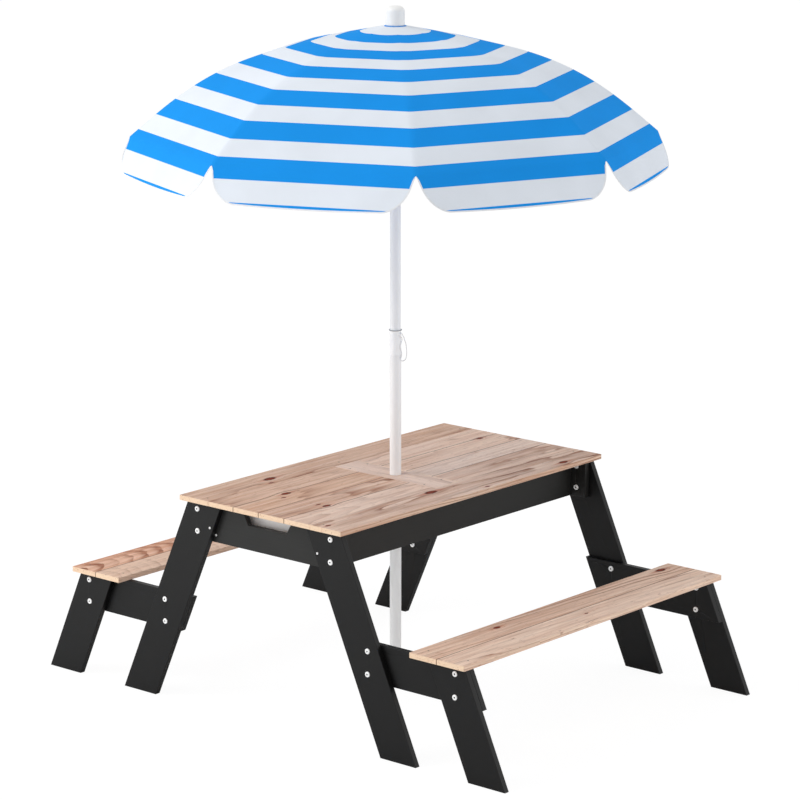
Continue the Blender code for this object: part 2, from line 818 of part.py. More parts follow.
def stretcher_mesh(finish):
    """Stretcher with a forked outer end, its origin on the rib's pivot, running along +X."""
    half, gap, wide = rib_width / 2, slot_width / 2, fork_half_width
    back, neck = stretcher_nose + running_gap, fork_depth + fork_neck
    tail = linkage_length + stretcher_nose
    upper = [(-back, gap), (fork_depth, gap)]
    outer = [(tail, half), (neck + running_gap, half), (neck - running_gap, wide), (-back, wide)]
    outline = upper + [(x, -y) for x, y in reversed(upper)] + [(x, -y) for x, y in reversed(outer)] + outer
    bar = add("stretcher_pattern", prism(bmesh.new(), outline, "xy", -stretcher_height / 2, stretcher_height / 2),
              finish)
    cut(bar, cross_pins(bmesh.new(), [(linkage_length, 0)], pivot_hole_radius, rib_width), "DIFFERENCE")
    cut(bar, cross_pins(bmesh.new(), [(0, 0)], pivot_pin_radius, (gap + wide) / 2), "UNION")
    return finished_mesh(bar)


def slots(shape, floor, low, high):
    """Radial slots for the ends of the ribs or stretchers."""
    for k in range(rib_count):
        corners = [(floor, -slot_width / 2), (2 * hub_radius, -slot_width / 2),
                   (2 * hub_radius, slot_width / 2), (floor, slot_width / 2)]
        turn = Matrix.Rotation(k * rib_step, 2)
        prism(shape, [tuple(turn @ Vector(corner)) for corner in corners], "xy", low, high)
    return shape


def make_crown(finish, parent):
    """Slotted crown that holds the ribs on short pins and plugs into the upper pole."""
    seat = upper_pole_top + contact_gap
    top = dome_top - fabric_thickness - contact_gap
    bore_floor = dome_top - finial_stud_length
    spigot = upper_pole_bore - contact_gap
    profile = [(0, bore_floor), (finial_hole_radius, bore_floor), (finial_hole_radius, top), (hub_radius, top),
               (hub_radius, seat), (spigot, seat), (spigot, seat - crown_spigot_length),
               (0, seat - crown_spigot_length)]
    crown = add("crown", turned(bmesh.new(), profile, hub_sides), finish, parent, smooth=True)
    cut(crown, slots(bmesh.new(), crown_slot_floor, seat - contact_gap, top + contact_gap))
    pins = bmesh.new()
    for k in range(rib_count):
        place = Matrix.Rotation(k * rib_step, 4, "Z") @ Matrix.Translation((hinge_radius, 0, hinge_level()))
        place = place @ Matrix.Rotation(math.pi / 2, 4, "X")
        half = slot_width / 2 + running_gap
        turned(pins, bored(pivot_pin_radius, -half, half), screw_sides, place)
    return cut(crown, pins, "UNION")


def runner_level():
    """Height of the runner's pivots: the linkage is isosceles, so they lie below the hinges."""
    angle, _ = linkage()
    return hinge_level() - 2 * linkage_length * math.sin(angle)


def make_runner(finish, parent):
    middle = runner_level()
    low, high = middle - runner_height / 2, middle + runner_height / 2
    bore = upper_pole_radius + contact_gap
    profile = [(bore, low), (hub_radius, low), (hub_radius, high), (bore, high)]
    runner = add("runner", turned(bmesh.new(), profile, hub_sides, closed=True), finish, parent, smooth=True)
    shift = Matrix.Translation((0, 0, -middle))
    runner.data.transform(shift)
    cutter = slots(bmesh.new(), runner_slot_floor, -runner_height, runner_height)
    return cut(runner, cutter)


def make_finial(finish, parent):
    base = dome_top + contact_gap
    shoulder = finial_top - finial_crown_rise
    profile = [(0, base - finial_stud_length + running_gap), (finial_stud_radius, base - finial_stud_length + running_gap),
               (finial_stud_radius, base), (finial_neck_radius, base),
               (finial_neck_radius, base + finial_neck_height), (finial_radius, base + finial_neck_height)]
    steps = 4
    for k in range(steps + 1):
        angle = k / steps * math.pi / 2
        profile.append((finial_radius - finial_round * (1 - math.cos(angle)),
                        shoulder - finial_round * (1 - math.sin(angle))))
    profile.append((0, finial_top))
    return add("finial", turned(bmesh.new(), profile, pole_sides), finish, parent, smooth=True)


def make_parasol(white, steel, blue, upper_hook):
    angle, pivot = linkage()
    make_crown(white, upper_hook)
    make_finial(white, upper_hook)
    runner_hook = hook("runner_slide", Matrix.Translation((0, 0, runner_level())), upper_hook)
    make_runner(white, runner_hook)
    ribs, stretchers = rib_mesh(steel), stretcher_mesh(steel)
    rib_hooks = []
    for k in range(rib_count):
        number = str(k + 1)
        place = Matrix.Rotation(k * rib_step, 4, "Z") @ Matrix.Translation((hinge_radius, 0, hinge_level()))
        rib_hook = hook("rib_hinge_" + number, place, upper_hook)
        add("rib_" + number, ribs, steel, rib_hook)
        reach = Matrix.Translation((pivot.x - hinge_radius, 0, pivot.y - hinge_level()))
        turn = Matrix.Rotation(math.pi - angle, 4, "Y")
        stretcher_hook = hook("stretcher_hinge_" + number, reach @ turn, rib_hook)
        add("stretcher_" + number, stretchers, steel, stretcher_hook)
        rib_hooks.append(rib_hook)
    make_canopy(blue, rib_hooks)


def main():
    clear_scene()
    pine = material("pine", "C8AA96", 0.6)
    black = material("black_stain", "2E2E2E", 0.75)
    white = material("white_plastic", "ECECEC", 0.4)
    enamel = material("white_enamel", "F0F0F0", 0.3)
    grey = material("grey_rubber", "6A6A6A", 0.7)
    blue = material("blue_fabric", "2288E2", 0.85)
    origin = Matrix.Identity(4)
    bins = {}
    lids = {}
    for end_name, end in ends:
        bins[end_name] = hook("bin_lift_" + end_name, Matrix.Translation((end * bin_middle, 0, 0)))
        lids[end_name] = hook("lid_lift_" + end_name, origin, bins[end_name])
    pole_hook = hook("pole_lift", origin)
    collar_hook = hook("pole_height", origin, pole_hook)
    upper_hook = hook("parasol_turn", origin, collar_hook)
    clip_hook = hook("clip_pull", clip_direction() @ Matrix.Translation((clip_reach, 0, clip_shank_height)), pole_hook)
    make_legs(black)
    make_lower_bars(black)
    make_end_beams(black)
    make_rails(black)
    make_bearer(black)
    make_top_boards(pine)
    make_cross_board(pine)
    make_lids(pine, lids)
    make_benches(pine)
    make_bins(white, bins)
    make_pole(enamel, grey, pole_hook, collar_hook, upper_hook)
    make_clip(enamel, clip_hook)
    make_parasol(white, enamel, blue, upper_hook)


main()
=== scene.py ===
"""Looks of a child's picnic table: planed pine, black stain, enamel, plastic and striped fabric."""
import json
import math

import bmesh
import bpy
from bpy.props import FloatProperty, FloatVectorProperty, IntProperty, PointerProperty
from mathutils import Matrix, Vector


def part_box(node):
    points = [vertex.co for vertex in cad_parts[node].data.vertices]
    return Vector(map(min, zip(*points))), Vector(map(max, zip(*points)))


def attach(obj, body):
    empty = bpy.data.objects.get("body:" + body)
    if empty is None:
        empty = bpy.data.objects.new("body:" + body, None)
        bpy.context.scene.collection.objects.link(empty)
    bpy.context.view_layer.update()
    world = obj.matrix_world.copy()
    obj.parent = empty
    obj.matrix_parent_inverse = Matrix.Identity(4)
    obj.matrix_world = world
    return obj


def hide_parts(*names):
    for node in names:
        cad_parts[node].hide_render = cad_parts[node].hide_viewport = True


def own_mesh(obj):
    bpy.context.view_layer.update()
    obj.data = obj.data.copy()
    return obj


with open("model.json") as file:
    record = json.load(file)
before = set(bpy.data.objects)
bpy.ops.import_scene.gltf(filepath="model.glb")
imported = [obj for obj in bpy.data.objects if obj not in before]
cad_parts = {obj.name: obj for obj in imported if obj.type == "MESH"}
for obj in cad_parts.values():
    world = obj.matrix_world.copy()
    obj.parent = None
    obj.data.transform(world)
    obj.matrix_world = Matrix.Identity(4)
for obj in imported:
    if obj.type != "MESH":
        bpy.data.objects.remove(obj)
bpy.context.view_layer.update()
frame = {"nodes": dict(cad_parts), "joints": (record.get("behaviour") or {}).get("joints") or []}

bl_info = {
    "name": "Picnic table with sandbox",
    "version": (1, 0, 0),
    "blender": (4, 5, 0),
    "location": "3D View > Sidebar > Picnic table",
    "description": "Dresses the table's frame in wood, metal, plastic and fabric",
    "category": "Object",
}

millimetre = 0.001
# Points of a mesh that are nearer than this are one
weld = 0.01 * millimetre
# Distances down the cloth that differ by less are the same
hair = 1e-9
ends = (("left", -1), ("right", 1))
sides = (("front", -1), ("back", 1))
gore_count = 8

# Sizes of the solids that their boxes don't give, in metres
# How far the legs spread for each metre that they fall
leg_lean = 0.4461
# Radii on the cover: the crown's hole, the ribs' hinges, and where the cloth begins to fall
crown_hole, rib_hinge, crown_edge = 0.0080, 0.0180, 0.0241
# Bolts of one corner, as (y, z)
bolt_centres = ((0.20297, 0.4720), (0.20297, 0.4200), (0.31094, 0.2380), (0.31094, 0.1852),
                (0.56045, 0.2380), (0.56045, 0.1852))
# Pan-head screws of one corner, in the leg and in the end beam, as (x, y, z)
pan_screws = ((0.4523, 0.1642, 0.4335), (0.4382, 0.1580, 0.4150))
# Sunk screws: in the long boards, of the cross board's corner as (x, y), and of the benches' ends
board_screws, board_screw_y = (-0.4454, 0.0, 0.4454), 0.1770
cross_screw = (0.0305, 0.1140)
bench_screw_x, bench_screws = 0.4313, (0.4680, 0.5790)


def clamped(share):
    """The share, kept between 0 and 1."""
    return min(max(share, 0), 1)


def linear(hex_colour):
    """Linear RGBA of an sRGB hex colour."""
    channels = [int(hex_colour[i:i + 2], 16) / 255 for i in (0, 2, 4)]
    return [c / 12.92 if c <= 0.04045 else ((c + 0.055) / 1.055) ** 2.4 for c in channels] + [1.0]


# Settings

class WoodSettings(bpy.types.PropertyGroup):
    """Finish of the boards"""
    early: FloatVectorProperty(name="Earlywood", description="Pale wood between the growth rings",
                               subtype="COLOR", size=4, default=linear("F1DAC8"))
    late: FloatVectorProperty(name="Latewood", description="Dark line that ends each growth ring",
                              subtype="COLOR", size=4, default=linear("8E5E46"))
    sawn_end: FloatVectorProperty(name="Sawn end", description="End grain of a board",
                                  subtype="COLOR", size=4, default=linear("EED2B4"))
    knot: FloatVectorProperty(name="Knot", description="Dark rim of a knot",
                              subtype="COLOR", size=4, default=linear("471A0E"))
    ring_spacing: FloatProperty(name="Ring spacing", description="Mean width of a growth ring, as it is drawn",
                                unit="LENGTH", default=6.5 * millimetre)
    stain: FloatVectorProperty(name="Black stain", description="Opaque stain on the legs",
                               subtype="COLOR", size=4, default=linear("090909"))
    # The rails' stain is paler than the legs' as painted light: it stands for the light and sheen that the beams and
    # aprons catch
    rail_stain_with_painted_light: FloatVectorProperty(name="Black stain on the rails", description="Opaque stain on beams and aprons",
                                    subtype="COLOR", size=4, default=linear("222221"))
    easing: FloatProperty(name="Edge easing", description="Radius that the planer leaves on the boards' edges",
                          unit="LENGTH", default=0.8 * millimetre)


class CanopySettings(bpy.types.PropertyGroup):
    """Cut and colours of the parasol's cover"""
    blue: FloatVectorProperty(name="Blue stripe", description="Dyed stripe", subtype="COLOR", size=4,
                              default=linear("1D99F0"))
    white: FloatVectorProperty(name="White stripe", description="Undyed stripe", subtype="COLOR", size=4,
                               default=linear("EAF0F8"))
    length: FloatProperty(name="Gore length", description="From the crown to the ribs' tips", unit="LENGTH",
                          default=598.1 * millimetre)
    repeat: FloatProperty(name="Stripe repeat", description="One blue and one white stripe", unit="LENGTH",
                          default=103.4 * millimetre)
    blue_width: FloatProperty(name="Blue width", description="Width of a blue stripe down a gore", unit="LENGTH",
                              default=53.4 * millimetre)
    first_blue: FloatProperty(name="First blue", description="From the crown to the first blue stripe",
                              unit="LENGTH", default=57 * millimetre)
    top_slope: FloatProperty(name="Slope at the crown", description="Fall of a gore beside the crown",
                             subtype="ANGLE", default=math.radians(12.4))
    eave_slope: FloatProperty(name="Slope at the tips", description="Fall of a gore at the ribs' tips",
                              subtype="ANGLE", default=math.radians(42.6))
    flap_slope: FloatProperty(name="Slope of the flaps", description="Fall of the hanging flaps",
                              subtype="ANGLE", default=math.radians(62))
    flap: FloatProperty(name="Flap length", description="From the ribs' tips to the hem", unit="LENGTH",
                        default=91 * millimetre)
    corner_width: FloatProperty(name="Corner width", description="Width of a flap's rounded lower corner",
                                unit="LENGTH", default=44 * millimetre)
    corner_height: FloatProperty(name="Corner height", description="Height of a flap's rounded lower corner",
                                 unit="LENGTH", default=60 * millimetre)
    taper: FloatProperty(name="Flap taper", description="How fast the notch between two flaps widens", default=0.21)
    belly: FloatProperty(name="Hem belly", description="How much lower the hem hangs midway than at its corners",
                         unit="LENGTH", default=4 * millimetre)
    cloth: FloatProperty(name="Cloth thickness", description="Thickness of the cover", unit="LENGTH",
                         default=0.6 * millimetre)
    crown_fold: FloatProperty(name="Soft fold at the crown", description="Half width of the bend over a rib there",
                              unit="LENGTH", default=50 * millimetre)
    eave_fold: FloatProperty(name="Soft fold at the tips", description="Half width of the bend over a rib's tip",
                             unit="LENGTH", default=8 * millimetre)
    side_tape: FloatProperty(name="Side binding", description="Width of the tape beside the notches", unit="LENGTH",
                             default=3 * millimetre)
    hem_tape: FloatProperty(name="Hem binding", description="Width of the tape along the hem", unit="LENGTH",
                            default=3 * millimetre)
    stitch: FloatProperty(name="Stitch pitch", description="From one stitch of the binding to the next",
                          unit="LENGTH", default=4 * millimetre)


class HardwareSettings(bpy.types.PropertyGroup):
    """Bolts, screws, tubes and moulded parts"""
    enamel: FloatVectorProperty(name="Enamel", description="Powder coat on the steel", subtype="COLOR", size=4,
                                default=linear("F8F8F8"))
    plastic: FloatVectorProperty(name="Plastic", description="Moulded parts", subtype="COLOR", size=4,
                                 default=linear("F2F2F1"))
    segments: IntProperty(name="Round segments", description="Steps round a turned piece", default=64, min=12)
    head: FloatProperty(name="Bolt head radius", description="Radius of a bolt's round head", unit="LENGTH",
                        default=6.4 * millimetre)
    screw: FloatProperty(name="Screw head radius", description="Radius of a wood screw's head", unit="LENGTH",
                         default=2.7 * millimetre)


class StageSettings(bpy.types.PropertyGroup):
    """Studio round the table"""
    world: FloatProperty(name="Sky strength", description="Light from all round", default=0.75)
    key: FloatProperty(name="Key strength", description="Soft lamp above the camera's left", default=0.39)
    fill: FloatProperty(name="Fill strength", description="Soft low lamp on the camera's right", default=0.15)
    side: FloatProperty(name="Side strength", description="Soft lamp at table height on the camera's left",
                        default=0.15)
    lens: FloatProperty(name="Lens", description="Focal length in millimetres", default=152.96)


# Tools

def node(tree, kind, feeds=None, **settings):
    """Add a node; feeds gives its inputs by name or number, from a socket, a node or a value.

    Math takes its terms at 0, 1 and 2. Map Range takes its value at 0, the range that it comes from at 1 and 2 and
    the one that it goes to at 3 and 4, and both are 0 to 1 where they are left out. Mix takes its share at 0 and its
    two colours at 6 and 7.
    """
    made = tree.nodes.new(kind)
    for key, value in settings.items():
        setattr(made, key, value)
    for key, source in (feeds or {}).items():
        if isinstance(source, bpy.types.Node):
            source = source.outputs[0]
        if isinstance(source, bpy.types.NodeSocket):
            tree.links.new(source, made.inputs[key])
        else:
            made.inputs[key].default_value = source
    return made


def new_finish(name):
    """Empty material and its node tree, to be filled with nodes."""
    made = bpy.data.materials.new(name)
    made.use_nodes = True
    made.node_tree.nodes.clear()
    return made, made.node_tree


def group(name, inputs, outputs, kind="ShaderNodeTree"):
    """Empty node group with sockets given as (label, data), and the sockets that bring its inputs."""
    tree = bpy.data.node_groups.new(name, kind)
    for way, sockets in (("INPUT", inputs), ("OUTPUT", outputs)):
        for label, data in sockets:
            tree.interface.new_socket(label, in_out=way, socket_type="NodeSocket" + data)
    return tree, list(node(tree, "NodeGroupInput").outputs)[:len(inputs)]


def new_object(name, data):
    """New object at the origin, in the scene."""
    thing = bpy.data.objects.new(name, data)
    bpy.context.scene.collection.objects.link(thing)
    return thing


def new_piece(name, mesh, body, replaces=()):
    """New visible piece at the origin that rides on a body, in place of the CAD nodes that it replaces."""
    thing = new_object(name, mesh)
    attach(thing, body)
    if replaces:
        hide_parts(*replaces)
    return thing


def add_mesh(name, vertices, faces, finish, body):
    """New piece from its vertices and faces."""
    mesh = bpy.data.meshes.new(name)
    mesh.from_pydata([tuple(v) for v in vertices], [], [tuple(f) for f in faces])
    mesh.materials.append(finish)
    return new_piece(name, mesh, body)


def final_mesh(name, draft):
    """Mesh of a draft object with its modifiers applied; the draft is removed."""
    bpy.context.view_layer.update()
    graph = bpy.context.evaluated_depsgraph_get()
    graph.update()
    mesh = bpy.data.meshes.new_from_object(draft.evaluated_get(graph))
    bpy.data.objects.remove(draft, do_unlink=True)
    mesh.name = name
    return mesh


def grown(name, mesh, tree, values):
    """Mesh that a Geometry Nodes tree makes from a draft mesh, with values for its named inputs."""
    draft = new_object(name + "_draft", mesh)
    step = draft.modifiers.new(tree.name, "NODES")
    step.node_group = tree
    for item in tree.interface.items_tree:
        if item.in_out == "INPUT" and item.name in values:
            step[item.identifier] = values[item.name]
    return final_mesh(name, draft)


def set_finish(nodes, finish):
    """Give CAD nodes that stay visible another material."""
    for name in nodes:
        thing = frame["nodes"][name]
        for slot in thing.material_slots:
            slot.material = finish


def turned(name, profile, finish, body, replaces=()):
    """Turn (radius, height) points about Z into a smooth piece; the profile's end points may lie on the axis."""
    steps = bpy.context.scene.picnic_hardware.segments
    shape = bmesh.new()
    verts = [shape.verts.new((radius, 0, height)) for radius, height in profile]
    edges = [shape.edges.new(pair) for pair in zip(verts, verts[1:])]
    if profile[0][0] > 0 and profile[-1][0] > 0:
        edges.append(shape.edges.new((verts[-1], verts[0])))
    bmesh.ops.spin(shape, geom=verts + edges, cent=(0, 0, 0), axis=(0, 0, 1), dvec=(0, 0, 0),
                   angle=2 * math.pi, steps=steps, use_merge=True)
    bmesh.ops.remove_doubles(shape, verts=shape.verts, dist=weld)
    bmesh.ops.recalc_face_normals(shape, faces=shape.faces)
    mesh = bpy.data.meshes.new(name)
    shape.to_mesh(mesh)
    shape.free()
    mesh.shade_smooth()
    mesh.set_sharp_from_angle(angle=math.radians(38))
    mesh.materials.append(finish)
    return new_piece(name, mesh, body, replaces)


# Wood

def grain_group():
    """Growth rings and fibre of sawn pine staves, from board coordinates: along, across and through."""
    tree, given = group("sawn pine grain",
                        (("Place", "Vector"), ("Stave width", "Float"), ("Ring spacing", "Float"), ("Seed", "Float"),
                         ("Pith offset", "Float"), ("Sway", "Float"), ("Slant", "Float"), ("Pith spread", "Float")),
                        (("Latewood", "Float"), ("Fibre", "Float"), ("Joint", "Float"), ("Streak", "Float"),
                         ("Fleck", "Float")))
    place, width, spacing, seed, pith_offset, sway_share, lean, spread = given
    along, across, through = node(tree, "ShaderNodeSeparateXYZ", {0: place}).outputs
    stave = node(tree, "ShaderNodeMath", {0: across, 1: width}, operation="DIVIDE")
    index = node(tree, "ShaderNodeMath", {0: stave}, operation="FLOOR")
    share = node(tree, "ShaderNodeMath", {0: stave}, operation="FRACT")
    middle = node(tree, "ShaderNodeMath", {0: share, 1: 0.5}, operation="SUBTRACT")
    local = node(tree, "ShaderNodeMath", {0: middle, 1: width}, operation="MULTIPLY")
    key = node(tree, "ShaderNodeCombineXYZ", {0: index, 1: seed})
    chance = node(tree, "ShaderNodeTexWhiteNoise", {"Vector": key}, noise_dimensions="2D")
    dice = node(tree, "ShaderNodeSeparateColor", {0: chance.outputs["Color"]}).outputs
    # Each stave was sawn at its own distance from the log's pith, which slants a little through it
    pith_across = node(tree, "ShaderNodeMapRange", {0: dice[0], 3: -0.050, 4: 0.050})
    pith_across = node(tree, "ShaderNodeMath", {0: pith_across, 1: spread}, operation="MULTIPLY")
    pith_depth = node(tree, "ShaderNodeMapRange", {0: dice[1], 3: 0.010, 4: 0.050})
    slant = node(tree, "ShaderNodeMapRange", {0: dice[2], 3: -0.040, 4: 0.040})
    slant = node(tree, "ShaderNodeMath", {0: slant, 1: lean}, operation="ADD")
    rise = node(tree, "ShaderNodeMath", {0: along, 1: slant, 2: pith_depth}, operation="MULTIPLY_ADD")
    offset = node(tree, "ShaderNodeVectorMath", {0: chance.outputs["Color"], "Scale": 9.0}, operation="SCALE")
    slow = node(tree, "ShaderNodeVectorMath", {0: place, 1: (2.6, 14, 14), 2: offset}, operation="MULTIPLY_ADD")
    sway = node(tree, "ShaderNodeTexNoise", {"Vector": slow, "Scale": 1.0, "Detail": 3.0, "Roughness": 0.5})
    sway = node(tree, "ShaderNodeMapRange", {0: sway.outputs[0], 3: -0.012, 4: 0.012}, clamp=False)
    sway = node(tree, "ShaderNodeMath", {0: sway, 1: sway_share}, operation="MULTIPLY")
    beside = node(tree, "ShaderNodeMath", {0: local, 1: pith_across}, operation="SUBTRACT")
    beside = node(tree, "ShaderNodeMath", {0: beside, 1: pith_offset}, operation="ADD")
    below = node(tree, "ShaderNodeMath", {0: through, 1: rise}, operation="ADD")
    arm = node(tree, "ShaderNodeCombineXYZ", {0: beside, 1: below})
    reach = node(tree, "ShaderNodeVectorMath", {0: arm}, operation="LENGTH")
    radius = node(tree, "ShaderNodeMath", {0: reach.outputs["Value"], 1: sway}, operation="ADD")
    rings = node(tree, "ShaderNodeMath", {0: radius, 1: spacing}, operation="DIVIDE")
    phase = node(tree, "ShaderNodeMath", {0: rings}, operation="FRACT")
    # Latewood darkens slowly through the summer and stops at once in winter
    swell = node(tree, "ShaderNodeMath", {0: phase, 1: 3.2}, operation="POWER")
    stop = node(tree, "ShaderNodeMapRange", {0: phase, 1: 0.90, 2: 1.0, 3: 1.0, 4: 0.0},
                interpolation_type="SMOOTHSTEP")
    ring = node(tree, "ShaderNodeMath", {0: swell, 1: stop}, operation="MULTIPLY")
    year = node(tree, "ShaderNodeMath", {0: rings}, operation="FLOOR")
    year = node(tree, "ShaderNodeCombineXYZ", {0: year, 1: index, 2: seed})
    year = node(tree, "ShaderNodeTexWhiteNoise", {"Vector": year}, noise_dimensions="3D")
    year = node(tree, "ShaderNodeMapRange", {0: year.outputs["Value"], 3: 0.1, 4: 1.6})
    fade = node(tree, "ShaderNodeVectorMath", {0: place, 1: (4.5, 60, 60), 2: offset}, operation="MULTIPLY_ADD")
    fade = node(tree, "ShaderNodeTexNoise", {"Vector": fade, "Scale": 1.0, "Detail": 2.0})
    fade = node(tree, "ShaderNodeMapRange", {0: fade.outputs[0], 1: 0.32, 2: 0.68, 3: 0.25, 4: 1.3})
    latewood = node(tree, "ShaderNodeMath", {0: ring, 1: fade}, operation="MULTIPLY")
    latewood = node(tree, "ShaderNodeMath", {0: latewood, 1: year}, operation="MULTIPLY")
    # Pine's fibres are 0.03 mm wide; they are drawn 2 mm wide, as the planed streaks show
    streak = node(tree, "ShaderNodeVectorMath", {0: place, 1: (11, 480, 480), 2: offset}, operation="MULTIPLY_ADD")
    fibre = node(tree, "ShaderNodeTexNoise", {"Vector": streak, "Scale": 1.0, "Detail": 3.0, "Roughness": 0.65})
    band = node(tree, "ShaderNodeVectorMath", {0: place, 1: (3.0, 95, 95), 2: offset}, operation="MULTIPLY_ADD")
    band = node(tree, "ShaderNodeTexNoise", {"Vector": band, "Scale": 1.0, "Detail": 3.0, "Roughness": 0.6})
    # Resin canals show as brown dashes, 10 to 30 mm long
    dash = node(tree, "ShaderNodeVectorMath", {0: place, 1: (45, 330, 330), 2: offset}, operation="MULTIPLY_ADD")
    dash = node(tree, "ShaderNodeTexNoise", {"Vector": dash, "Scale": 1.0, "Detail": 1.0})
    dash = node(tree, "ShaderNodeMapRange", {0: dash.outputs[0], 1: 0.66, 2: 0.74})
    room = node(tree, "ShaderNodeMath", {0: local}, operation="ABSOLUTE")
    half = node(tree, "ShaderNodeMath", {0: width, 1: 0.5}, operation="MULTIPLY")
    room = node(tree, "ShaderNodeMath", {0: half, 1: room}, operation="SUBTRACT")
    # A glue line is 0.2 mm wide; it is drawn 2 mm wide, so that it shows
    joint = node(tree, "ShaderNodeMapRange", {0: room, 1: 0.0008, 2: 0.0016, 3: 1.0, 4: 0.0})
    node(tree, "NodeGroupOutput", {0: latewood, 1: fibre, 2: joint, 3: band, 4: dash})
    return tree


def knot_group():
    """A knot at a centre: the grain parts round it, and it has a red heart, torn bark and tails along the grain."""
    tree, given = group("pine knot", (("Place", "Vector"), ("Centre", "Vector"), ("Radius", "Float")),
                        (("Place", "Vector"), ("Heart", "Float"), ("Halo", "Float"), ("Bark", "Float")))
    place, centre, radius = given
    away = node(tree, "ShaderNodeVectorMath", {0: place, 1: centre}, operation="SUBTRACT")
    oval = node(tree, "ShaderNodeVectorMath", {0: away, 1: (0.55, 1.0, 0.0)}, operation="MULTIPLY")
    reach = node(tree, "ShaderNodeVectorMath", {0: oval}, operation="LENGTH")
    # A knot's rim is uneven by about 4 mm, and its bark is torn in patches of about 10 mm
    ragged = node(tree, "ShaderNodeTexNoise", {"Vector": place, "Scale": 260.0, "Detail": 2.0})
    ragged = node(tree, "ShaderNodeMapRange", {0: ragged.outputs[0], 3: 0.75, 4: 1.25})
    reach = node(tree, "ShaderNodeMath", {0: reach.outputs["Value"], 1: ragged}, operation="MULTIPLY")
    share = node(tree, "ShaderNodeMath", {0: reach, 1: radius}, operation="DIVIDE")
    squared = node(tree, "ShaderNodeMath", {0: share, 1: share}, operation="MULTIPLY")
    squared = node(tree, "ShaderNodeMath", {0: squared, 1: -0.16}, operation="MULTIPLY")
    push = node(tree, "ShaderNodeMath", {0: squared}, operation="EXPONENT")
    parted = node(tree, "ShaderNodeVectorMath", {0: away, 1: (0.0, -0.85, 0.0)}, operation="MULTIPLY")
    parted = node(tree, "ShaderNodeVectorMath", {0: parted, "Scale": push}, operation="SCALE")
    moved = node(tree, "ShaderNodeVectorMath", {0: place, 1: parted}, operation="ADD")
    heart = node(tree, "ShaderNodeMapRange", {0: share, 1: 0.8, 2: 1.05, 3: 1.0, 4: 0.0},
                 interpolation_type="SMOOTHSTEP")
    tail = node(tree, "ShaderNodeVectorMath", {0: away, 1: (0.20, 1.25, 0.0)}, operation="MULTIPLY")
    tail = node(tree, "ShaderNodeVectorMath", {0: tail}, operation="LENGTH")
    tail = node(tree, "ShaderNodeMath", {0: tail.outputs["Value"], 1: ragged}, operation="MULTIPLY")
    tail = node(tree, "ShaderNodeMath", {0: tail, 1: radius}, operation="DIVIDE")
    halo = node(tree, "ShaderNodeMapRange", {0: tail, 1: 0.3, 2: 1.3, 3: 1.0, 4: 0.0},
                interpolation_type="SMOOTHSTEP")
    from_rim = node(tree, "ShaderNodeMath", {0: share, 1: 0.82, 2: 0.0}, operation="SUBTRACT")
    from_rim = node(tree, "ShaderNodeMath", {0: from_rim}, operation="ABSOLUTE")
    bark = node(tree, "ShaderNodeMapRange", {0: from_rim, 1: 0.12, 2: 0.34, 3: 1.0, 4: 0.0})
    torn = node(tree, "ShaderNodeTexNoise", {"Vector": place, "Scale": 95.0, "Detail": 1.0})
    torn = node(tree, "ShaderNodeMapRange", {0: torn.outputs[0], 1: 0.40, 2: 0.58, 3: 0.25, 4: 1.0})
    bark = node(tree, "ShaderNodeMath", {0: bark, 1: torn}, operation="MULTIPLY")
    node(tree, "NodeGroupOutput", {0: moved, 1: heart, 2: halo, 3: bark})
    return tree


